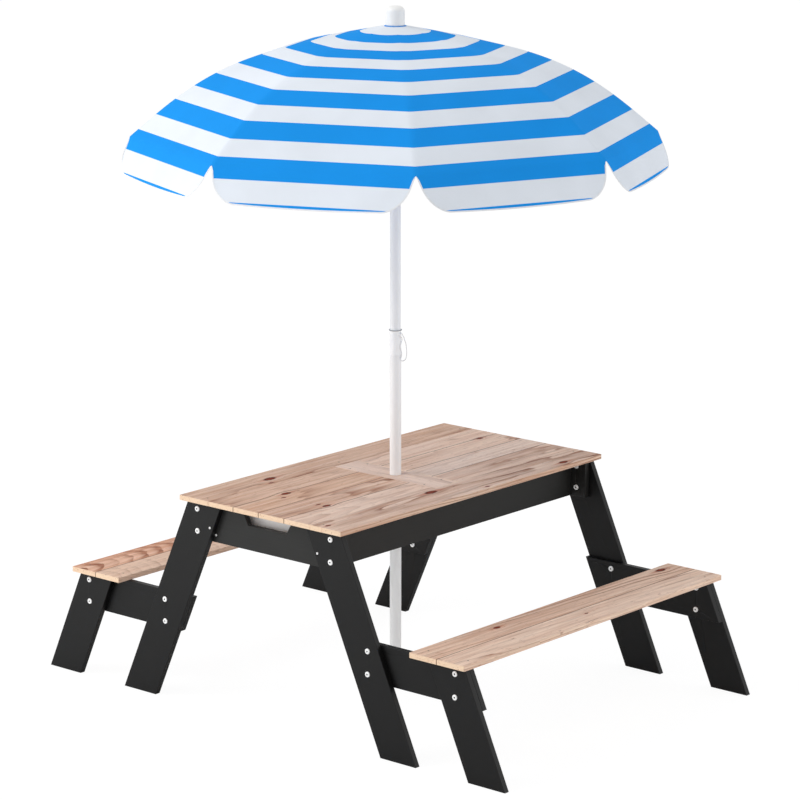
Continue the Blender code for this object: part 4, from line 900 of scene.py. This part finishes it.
class Gore:
    """Shape of the cover: a gore's middle line, and the outline of the flap that hangs below the ribs' tips."""
    # Shares of the length between which the fall steepens
    bend_start, bend_end = 0.226, 0.954
    # Shading turns over twice the first length at the crown and the tips, and over the second one down a flap
    soft_turn, soft_flap = 9 * millimetre, 12 * millimetre
    # How far the stripes curve over a rib, as a share of its bend, and how far they slip down at the hem
    rib_curve, hem_slip = 0.23, 2.8 * millimetre

    def __init__(self, cut):
        self.cut = cut
        self.half_angle = math.pi / gore_count
        self.length = cut.length
        self.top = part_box("canopy_1")[1][2]
        steps = 600
        self.ladder = [(crown_edge, self.top)]
        step = self.length / steps
        for k in range(steps):
            slope = self.slope((k + 0.5) * step)
            radius, height = self.ladder[-1]
            self.ladder.append((radius + step * math.cos(slope), height - step * math.sin(slope)))
        self.tip_radius, self.tip_height = self.ladder[-1]
        self.half_width = self.tip_radius * math.tan(self.half_angle)
        self.straight = cut.flap - cut.corner_height
        self.hem_half = self.half_width - cut.taper * cut.flap - cut.corner_width

    def slope(self, distance):
        """Fall of the dome at a distance down the gore; it steepens smoothly between two shares."""
        share = clamped((distance / self.length - self.bend_start) / (self.bend_end - self.bend_start))
        return self.cut.top_slope + (self.cut.eave_slope - self.cut.top_slope) * share * share * (3 - 2 * share)

    def line(self, distance):
        """Radius and height of the middle line; distances below zero run level in to the crown's hole."""
        if distance <= 0:
            return crown_edge + distance, self.top
        if distance >= self.length:
            past = distance - self.length
            return (self.tip_radius + past * math.cos(self.cut.flap_slope),
                    self.tip_height - past * math.sin(self.cut.flap_slope))
        place = distance / self.length * (len(self.ladder) - 1)
        low = min(int(place), len(self.ladder) - 2)
        one, two, share = self.ladder[low], self.ladder[low + 1], place - low
        return one[0] + (two[0] - one[0]) * share, one[1] + (two[1] - one[1]) * share

    def shade_slope(self, distance):
        """Slope for shading, which turns the cloth softly over the ribs' tips and the crown."""
        turn = self.soft_turn
        if distance < turn:
            return self.cut.top_slope * clamped((distance + turn) / (2 * turn))
        if distance < self.length - turn:
            return self.slope(distance)
        share = clamped((distance - self.length + turn) / (2 * turn))
        return self.slope(min(distance, self.length)) * (1 - share) + self.cut.flap_slope * share

    def edge(self, distance):
        """Half width of the cloth at a distance down the gore."""
        past = distance - self.length
        if past <= 0:
            return self.line(distance)[0] * math.tan(self.half_angle)
        rise = min(max(past - self.straight, 0) / self.cut.corner_height, 1)
        return self.half_width - self.cut.taper * past - self.cut.corner_width * (1 - math.sqrt(1 - rise * rise))

    def sag(self, distance, across):
        """How much higher the flap's cloth ends towards its corners than midway, as a negative fall."""
        past = max(distance - self.length, 0) / self.cut.flap
        return -self.cut.belly * past ** 2 * min(across / self.hem_half, 1.2) ** 2

    def fold(self, distance):
        """Half width of the soft bend where the cloth lies over a rib: wide at the crown, tight at the tips."""
        left = 1 - clamped(distance / self.length)
        soft = self.cut.eave_fold + (self.cut.crown_fold - self.cut.eave_fold) * left ** 2
        return min(soft, 0.96 * self.edge(min(distance, self.length)))

    def drawn(self, distance, from_rib, across):
        """Distance as the stripes are woven: they curve over the ribs by the crown, and slip down at the hem."""
        fold = self.fold(distance)
        left = 1 - clamped(distance / self.length)
        curve = self.rib_curve * fold * (left * (1 - min(from_rib / fold, 1))) ** 2
        slip = self.hem_slip * max(distance - self.length, 0) / self.cut.flap
        return distance + self.sag(distance, across) + curve - slip

    def directions(self, sector, side):
        """Outward and sideways directions of the half gore on one side of a rib."""
        azimuth = sector * 2 * self.half_angle + side * self.half_angle
        return Vector((math.cos(azimuth), math.sin(azimuth), 0)), Vector((-math.sin(azimuth), math.cos(azimuth), 0))

    def point(self, sector, side, distance, across):
        """Place on the cover's upper face: across runs from the middle line towards the rib."""
        outward, sideways = self.directions(sector, side)
        radius, height = self.line(distance + self.sag(distance, across))
        return outward * radius - sideways * (side * across) + Vector((0, 0, height))

    def normal(self, sector, side, slope):
        """Upward normal of a half gore where it falls at a slope."""
        outward, _ = self.directions(sector, side)
        return outward * math.sin(slope) + Vector((0, 0, math.cos(slope)))

    def soft_normal(self, sector, side, distance, from_rib):
        """Normal for shading, which turns over the rib across the soft bend."""
        slope = self.shade_slope(distance)
        own = self.normal(sector, side, slope)
        middle = own + self.normal(sector, -side, slope)
        share = min(from_rib / self.fold(distance), 1)
        if distance > self.length:
            share = max(share, min((distance - self.length) / self.soft_flap, 1))
        return (middle / 2).lerp(own, share).normalized()


def cover_band(name, gore, sector, distances, cloth, finish):
    """Closed sheet of cloth between two distances down the cover, on both sides of one rib."""
    split = distances[0] >= gore.length - hair
    ladder = (1.0, 0.8, 0.6, 0.4, 0.2, 0.08, 0.0)
    half = [(0.0, 0)] + [(share, 1) for share in ladder]
    columns = [(-1, lane) for lane in half] + [(1, lane) for lane in reversed(half)][0 if split else 1:]
    # Neighbouring bands end just short of the middle line that they share
    middle = 0.02 * millimetre
    vertices, flat = [], []
    for distance in distances:
        slope = gore.slope(distance) if distance < gore.length - hair else gore.cut.flap_slope
        slope = 0.0 if distance <= 0 else slope
        edge, fold = gore.edge(distance), gore.fold(distance)
        for side, (share, by_rib) in columns:
            reach = edge - fold * share if by_rib else middle
            point = gore.point(sector, side, distance, reach)
            own = gore.normal(sector, side, slope)
            if by_rib and share == 0.0 and not split:
                both = own + gore.normal(sector, -side, slope)
                own = both / both.dot(own)
            vertices += [point, point - own * cloth]
            flat += [(side, gore.half_width - reach, edge - reach, distance)] * 2
    lanes = len(columns)

    def index(row, lane, under):
        return (row * lanes + lane) * 2 + under

    faces, kinds = [], []
    pairs = [(k, k + 1) for k in range(lanes - 1) if not (split and k == len(half) - 1)]
    for row in range(len(distances) - 1):
        for one, two in pairs:
            side = -1 if two < len(half) else 1
            faces.append((index(row, one, 0), index(row + 1, one, 0), index(row + 1, two, 0), index(row, two, 0)))
            kinds.append((side, 1))
            faces.append((index(row, two, 1), index(row + 1, two, 1), index(row + 1, one, 1), index(row, one, 1)))
            kinds.append((side, -1))
        rims = ((0, 1), (lanes - 1, 0)) + (((len(half) - 1, 0), (len(half), 1)) if split else ())
        for lane, forward in rims:
            rim = (index(row, lane, 0), index(row, lane, 1), index(row + 1, lane, 1), index(row + 1, lane, 0))
            faces.append(rim if forward else rim[::-1])
            kinds.append((0, 0))
    for row, forward in ((0, 0), (len(distances) - 1, 1)):
        for one, two in pairs:
            rim = (index(row, one, 0), index(row, one, 1), index(row, two, 1), index(row, two, 0))
            faces.append(rim if forward else rim[::-1])
            kinds.append((0, 0))
    thing = add_mesh(name, vertices, faces, finish, "rib_" + str(sector + 1))
    mesh = thing.data
    map_layer = mesh.uv_layers.new(name="cloth")
    normals = []
    for face, (side, way) in zip(mesh.polygons, kinds):
        for loop in face.loop_indices:
            own, across, from_rib, distance = flat[mesh.loops[loop].vertex_index]
            map_layer.data[loop].uv = (own * across, gore.drawn(distance, from_rib, gore.half_width - across))
            normals.append(gore.soft_normal(sector, side, distance, from_rib) * way if way else face.normal)
    mesh.shade_smooth()
    mesh.normals_split_custom_set([tuple(n) for n in normals])
    return thing


def tape_path(gore):
    """Edge of a flap from the notch's top to the middle of the hem: (across, distance), inward way and width."""
    cut = gore.cut
    side_steps, hem_steps = 8, 5
    start = 3 * millimetre
    falls = [start + (gore.straight - start) * k / side_steps for k in range(side_steps)]
    turns = [k / (2 * side_steps) * math.pi / 2 for k in range(2 * side_steps + 1)]
    path = []
    # The tape starts narrow in the notch and has its full width at the fourth step
    for k, fall in enumerate(falls):
        width = cut.side_tape * min(0.3 + 0.25 * k, 1)
        path.append((gore.edge(gore.length + fall), fall, (-1.0, -cut.taper), width))
    for angle in turns:
        fall = gore.straight + cut.corner_height * math.sin(angle)
        inward = (-cut.corner_height * math.cos(angle), -cut.corner_width * math.sin(angle))
        width = cut.side_tape + (cut.hem_tape - cut.side_tape) * math.sin(angle) ** 2
        path.append((gore.edge(gore.length + fall), fall, inward, width))
    for k in range(1, hem_steps + 1):
        path.append((gore.hem_half * (1 - k / hem_steps), cut.flap, (0.0, -1.0), cut.hem_tape))
    return [(Vector((across, gore.length + fall)), Vector(inward).normalized(), width)
            for across, fall, inward, width in path]


def tape(name, gore, sector, finish):
    """Folded tape over the raw edge of the two half flaps beside a rib."""
    cut = gore.cut
    # How far the tape stands off the cloth, and how far it wraps over the edge, in millimetres
    lift, wrap = 0.35 * millimetre, 0.3
    vertices, faces = [], []
    for side in (-1, 1):
        normal = gore.normal(sector, side, cut.flap_slope)
        first = len(vertices)
        path = tape_path(gore)
        for spot, inward, width in path:
            outer, inner = spot - inward * wrap * millimetre, spot + inward * width
            for place, raised in ((outer, -0.5), (outer, 0.5), (inner, 1), (inner, -1)):
                at = gore.point(sector, side, max(place.y, gore.length), max(place.x, 0.1 * millimetre))
                middle = at - normal * cut.cloth / 2
                vertices.append(middle + normal * raised * (cut.cloth / 2 + lift))
        for row in range(len(path) - 1):
            for k in range(4):
                after = (k + 1) % 4
                one, two = first + row * 4, first + (row + 1) * 4
                face = (one + k, one + after, two + after, two + k)
                faces.append(face if side < 0 else face[::-1])
        start, stop = first, first + (len(path) - 1) * 4
        caps = ((start + 3, start + 2, start + 1, start), (stop, stop + 1, stop + 2, stop + 3))
        faces += caps if side < 0 else [cap[::-1] for cap in caps]
    thing = add_mesh(name, vertices, faces, finish, "rib_" + str(sector + 1))
    shape = bmesh.new()
    shape.from_mesh(thing.data)
    bmesh.ops.recalc_face_normals(shape, faces=shape.faces)
    shape.to_mesh(thing.data)
    shape.free()
    return thing


def stitch_tree():
    """Geometry Nodes tree that sews a running stitch along a path of edges."""
    tree, (path, pitch, radius, yarn) = group("running stitch",
                                              (("Geometry", "Geometry"), ("Pitch", "Float"),
                                               ("Thread radius", "Float"), ("Thread", "Material")),
                                              (("Geometry", "Geometry"),), "GeometryNodeTree")
    curve = node(tree, "GeometryNodeMeshToCurve", {"Mesh": path})
    spaced = node(tree, "GeometryNodeResampleCurve", {"Curve": curve, "Length": pitch}, mode="LENGTH")
    span = node(tree, "ShaderNodeMath", {0: pitch, 1: 0.7}, operation="MULTIPLY")
    thread = node(tree, "GeometryNodeMeshCylinder", {"Vertices": 6, "Radius": radius, "Depth": span})
    way = node(tree, "GeometryNodeInputTangent")
    turn = node(tree, "FunctionNodeAlignRotationToVector", {"Vector": way}, axis="Z")
    copies = node(tree, "GeometryNodeInstanceOnPoints",
                  {"Points": spaced, "Instance": thread.outputs["Mesh"], "Rotation": turn})
    real = node(tree, "GeometryNodeRealizeInstances", {"Geometry": copies})
    done = node(tree, "GeometryNodeSetMaterial", {"Geometry": real, "Material": yarn})
    node(tree, "NodeGroupOutput", {"Geometry": done})
    return tree


def stitches(name, gore, sector, tree, finish):
    """Thread that holds the tape, sewn 0.7 mm from its inner edge."""
    vertices, edges = [], []
    lift = 0.4 * millimetre
    for side in (-1, 1):
        normal = gore.normal(sector, side, gore.cut.flap_slope)
        first = len(vertices)
        for spot, inward, width in tape_path(gore)[1:]:
            place = spot + inward * (width - 0.7 * millimetre)
            vertices.append(gore.point(sector, side, place.y, max(place.x, millimetre)) + normal * lift)
        edges += [(k, k + 1) for k in range(first, len(vertices) - 1)]
    path = bpy.data.meshes.new(name + "_path")
    path.from_pydata([tuple(v) for v in vertices], edges, [])
    values = {"Pitch": gore.cut.stitch, "Thread radius": 0.25 * millimetre, "Thread": finish}
    return new_piece(name, grown(name, path, tree, values), "rib_" + str(sector + 1))


def striped_cloth(cut):
    """Woven polyester with dyed stripes: matt, faintly ribbed by its threads, and thin enough to glow."""
    finish, tree = new_finish("striped polyester cover")
    flat = node(tree, "ShaderNodeUVMap", uv_map="cloth")
    parts = node(tree, "ShaderNodeSeparateXYZ", {0: flat}).outputs
    past = node(tree, "ShaderNodeMath", {0: parts[1], 1: cut.first_blue}, operation="SUBTRACT")
    phase = node(tree, "ShaderNodeMath", {0: past, 1: cut.repeat}, operation="FLOORED_MODULO")
    dyed = node(tree, "ShaderNodeMapRange", {0: phase, 1: cut.blue_width - 0.2 * millimetre,
                                             2: cut.blue_width + 0.2 * millimetre, 3: 1.0, 4: 0.0})
    below = node(tree, "ShaderNodeMath", {0: parts[1], 1: 1.5 * millimetre}, operation="GREATER_THAN")
    crown = node(tree, "ShaderNodeMath", {0: parts[1], 1: cut.first_blue}, operation="GREATER_THAN")
    share = node(tree, "ShaderNodeMath", {0: dyed, 1: crown}, operation="MULTIPLY")
    ring = node(tree, "ShaderNodeMath", {0: 1.0, 1: below}, operation="SUBTRACT")
    share = node(tree, "ShaderNodeMath", {0: share, 1: ring}, operation="MAXIMUM")
    colour = node(tree, "ShaderNodeMix", {0: share, 6: cut.white, 7: cut.blue}, data_type="RGBA").outputs[2]
    return cloth_shader(finish, tree, parts, colour)


def white_tape():
    """White polyester tape, woven like the cover."""
    finish, tree = new_finish("white binding tape")
    parts = node(tree, "ShaderNodeSeparateXYZ", {0: node(tree, "ShaderNodeTexCoord").outputs["Object"]}).outputs
    bright = node(tree, "ShaderNodeRGB")
    bright.outputs[0].default_value = linear("F3F5F8")
    return cloth_shader(finish, tree, parts, bright.outputs[0])


def cloth_shader(finish, tree, parts, colour):
    """Threads, glow and painted shade of slack waves on thin polyester over a colour, from two coordinates in metres.
    """
    # The real threads lie 0.25 mm apart; they are drawn 1.6 mm apart, so that they show
    turns = 2 * math.pi / (1.6 * millimetre)
    waves = []
    for part in parts[:2]:
        phase = node(tree, "ShaderNodeMath", {0: part, 1: turns}, operation="MULTIPLY")
        waves.append(node(tree, "ShaderNodeMath", {0: phase}, operation="SINE"))
    weave = node(tree, "ShaderNodeMath", {0: waves[0], 1: waves[1]}, operation="MULTIPLY")
    spot = node(tree, "ShaderNodeTexCoord").outputs["Object"]
    # The cloth is slack in waves about 140 mm long
    slack = node(tree, "ShaderNodeTexNoise", {"Vector": spot, "Scale": 7.0, "Detail": 2.0})
    # Painted shade: the colour turns up to 3 % darker or lighter with the slack waves, beside their bump
    shade = node(tree, "ShaderNodeMapRange", {0: slack.outputs[0], 1: 0.3, 2: 0.7, 3: 0.97, 4: 1.03})
    weave_and_painted_shade = node(tree, "ShaderNodeMath", {0: weave, 1: 0.012, 2: shade}, operation="MULTIPLY_ADD")
    colour = node(tree, "ShaderNodeMix", {0: 1.0, 6: colour, 7: weave_and_painted_shade}, data_type="RGBA",
                  blend_type="MULTIPLY").outputs[2]
    bump = node(tree, "ShaderNodeBump", {"Height": weave, "Strength": 0.18, "Distance": 0.06 * millimetre})
    soft = node(tree, "ShaderNodeBump", {"Height": slack.outputs[0], "Strength": 0.25, "Distance": 2 * millimetre,
                                         "Normal": bump})
    body = node(tree, "ShaderNodeBsdfPrincipled",
                {"Base Color": colour, "Roughness": 0.9, "Normal": soft, "Specular IOR Level": 0.08})
    glow = node(tree, "ShaderNodeBsdfTranslucent", {"Color": colour})
    both = node(tree, "ShaderNodeMixShader", {0: 0.12, 1: body, 2: glow})
    node(tree, "ShaderNodeOutputMaterial", {"Surface": both})
    return finish


class SewCanopy(bpy.types.Operator):
    """Cut and sew the parasol's cover, in bands"""
    bl_idname = "picnic.sew_canopy"
    bl_label = "Sew the canopy"

    def execute(self, context):
        cut = context.scene.picnic_canopy
        gore = Gore(cut)
        cloth, edging = striped_cloth(cut), white_tape()
        thread_tree = stitch_tree()
        for joint in frame["joints"]:
            if joint["name"] == "canopy_fold":
                fold, hinge = math.radians(joint["range_deg"][1]), joint["pos_m"]
        disc = turned("crown_disc", [(crown_hole, gore.top - cut.cloth), (rib_hinge, gore.top - cut.cloth),
                                     (rib_hinge, gore.top), (crown_hole, gore.top)], cloth, "parasol",
                      ("canopy_1",))
        # The bands start just outside the disc and are narrow; the share that each would keep when folded is worked
        # out for it
        stops = [rib_hinge + 0.3 * millimetre - crown_edge, 0.13, 0.24, 0.34, 0.43, 0.52, gore.length]
        bands = list(zip(stops, stops[1:])) + [(gore.length, gore.length + cut.flap)]
        for sector in range(gore_count):
            node_name = "canopy_" + str(sector + 1)
            joint = "canopy_fold" if sector == 0 else "rib_fold_" + str(sector + 1)
            pieces = []
            for number, (low, high) in enumerate(bands):
                keep = self.gathered(gore, (low + high) / 2, hinge, fold)
                distances = self.rows(gore, low, high)
                band = cover_band("cover_%d_%d" % (sector + 1, number + 1), gore, sector, distances, cut.cloth, cloth)
                pieces.append((band, keep))
            pieces.append((tape("tape_" + str(sector + 1), gore, sector, edging), keep))
            pieces.append((stitches("stitches_" + str(sector + 1), gore, sector, thread_tree, edging), keep))
            for piece, keep in pieces:
                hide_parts(node_name)
                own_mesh(piece)
        return {"FINISHED"}

    @staticmethod
    def rows(gore, low, high):
        """Distances of a band's rows, close together round the flap's corners."""
        straight_rows, corner_rows = 4, 14
        if low >= gore.length - hair:
            falls = [gore.straight * k / straight_rows for k in range(straight_rows)]
            falls += [gore.straight + gore.cut.corner_height * math.sin(k / corner_rows * math.pi / 2)
                      for k in range(corner_rows + 1)]
            return [gore.length + fall for fall in falls]
        count = max(2, math.ceil((high - low) / (10 * millimetre)))
        return [low + (high - low) * k / count for k in range(count + 1)]

    @staticmethod
    def gathered(gore, distance, hinge, fold):
        """Share of its width that the cloth keeps when folded, so that neighbours meet halfway between the ribs."""
        radius, height = gore.line(distance)
        out = radius * math.cos(gore.half_angle)
        folded = rib_hinge + (out - rib_hinge) * math.cos(fold) - (hinge[2] - height) * math.sin(fold)
        return min(max(folded / out, 0.1), 1.0)


# Stage

def studio_floor():
    """Pale paper sweep: it keeps a soft shadow, and shows white to the camera."""
    finish, tree = new_finish("pale studio floor")
    paper = node(tree, "ShaderNodeBsdfDiffuse", {"Color": linear("F0F0F0")})
    white = node(tree, "ShaderNodeEmission", {"Color": linear("FFFFFF"), "Strength": 1.06})
    path = node(tree, "ShaderNodeLightPath")
    seen = node(tree, "ShaderNodeMath", {0: path.outputs["Is Camera Ray"], 1: 0.88}, operation="MULTIPLY")
    both = node(tree, "ShaderNodeMixShader", {0: seen, 1: paper, 2: white})
    node(tree, "ShaderNodeOutputMaterial", {"Surface": both})
    return finish


class SetStage(bpy.types.Operator):
    """Set the floor, the light and the camera"""
    bl_idname = "picnic.set_stage"
    bl_label = "Set the stage"

    def execute(self, context):
        stage = context.scene.picnic_stage
        half = 30.0
        mesh = bpy.data.meshes.new("studio_floor")
        mesh.from_pydata([(-half, -half, 0), (half, -half, 0), (half, half, 0), (-half, half, 0)], [], [(0, 1, 2, 3)])
        mesh.materials.append(studio_floor())
        floor = new_object("studio_floor", mesh)
        floor.location.z = -0.5 * millimetre
        world = bpy.data.worlds.new("studio")
        context.scene.world = world
        world.use_nodes = True
        tree = world.node_tree
        tree.nodes.clear()
        path = node(tree, "ShaderNodeLightPath")
        seen = node(tree, "ShaderNodeMath", {0: path.outputs["Is Camera Ray"], 1: path.outputs["Is Glossy Ray"]},
                    operation="MAXIMUM")
        seen = node(tree, "ShaderNodeMath", {0: seen, 1: path.outputs["Is Transmission Ray"]}, operation="MAXIMUM")
        sky = node(tree, "ShaderNodeBackground", {"Color": linear("FFFFFF"), "Strength": stage.world})
        backdrop = node(tree, "ShaderNodeBackground", {"Color": linear("FFFFFF"), "Strength": 1.0})
        mixed = node(tree, "ShaderNodeMixShader", {0: seen, 1: sky, 2: backdrop})
        node(tree, "ShaderNodeOutputWorld", {"Surface": mixed})
        for name, place, width, share in (("key", (-4.2, 3.2, 4.6), 3.0, stage.key),
                                          ("fill", (3.4, -5.0, 1.4), 3.0, stage.fill),
                                          ("side", (-2.8, 2.1, 0.45), 1.6, stage.side)):
            self.lamp(name, place, width, share)
        camera = bpy.data.cameras.new("camera")
        camera.lens = stage.lens
        camera.sensor_width = 36.0
        # Place and angles were fitted to the photo
        down, heading = 0.2266, -0.8582
        holder = new_object("camera", camera)
        holder.location = (-5.7979, -5.0236, 2.4455)
        holder.rotation_euler = (math.pi / 2 - down, 0, heading)
        context.scene.camera = holder
        context.scene.view_settings.view_transform = "Standard"
        return {"FINISHED"}

    @staticmethod
    def lamp(name, place, width, share):
        """Square lamp that gives a surface facing it a share of full white."""
        middle = Vector((0, 0, 0.8))
        aim = middle - Vector(place)
        light = bpy.data.lights.new(name, "AREA")
        light.size = width
        light.energy = share * math.pi ** 2 * aim.length_squared
        holder = new_object(name, light)
        holder.location = place
        holder.rotation_euler = aim.to_track_quat("-Z", "Y").to_euler()


class PicnicPanel(bpy.types.Panel):
    """Buttons for the table's finishing steps"""
    bl_idname = "VIEW3D_PT_picnic_table"
    bl_label = "Picnic table"
    bl_space_type = "VIEW_3D"
    bl_region_type = "UI"
    bl_category = "Picnic table"

    def draw(self, context):
        for step in steps_in_order:
            self.layout.operator(step.bl_idname)
        for settings in (context.scene.picnic_wood, context.scene.picnic_canopy, context.scene.picnic_hardware,
                         context.scene.picnic_stage):
            box = self.layout.box()
            for key in settings.__annotations__:
                box.prop(settings, key)


steps_in_order = (FinishPine, StainFrame, FitPole, BendClip, DriveFastenings, SewCanopy, SetStage)
settings_classes = {"picnic_wood": WoodSettings, "picnic_canopy": CanopySettings,
                    "picnic_hardware": HardwareSettings, "picnic_stage": StageSettings}


def register():
    """Make the settings, the steps and the panel known to Blender."""
    for kind in (*settings_classes.values(), *steps_in_order, PicnicPanel):
        bpy.utils.register_class(kind)
    for name, kind in settings_classes.items():
        setattr(bpy.types.Scene, name, PointerProperty(type=kind))


def unregister():
    """Take them out again."""
    for name in settings_classes:
        delattr(bpy.types.Scene, name)
    for kind in reversed((*settings_classes.values(), *steps_in_order, PicnicPanel)):
        bpy.utils.unregister_class(kind)


def main():
    """Run all the steps."""
    register()
    for step in steps_in_order:
        family, action = step.bl_idname.split(".")
        getattr(getattr(bpy.ops, family), action)()


if __name__ == "__main__":
    main()
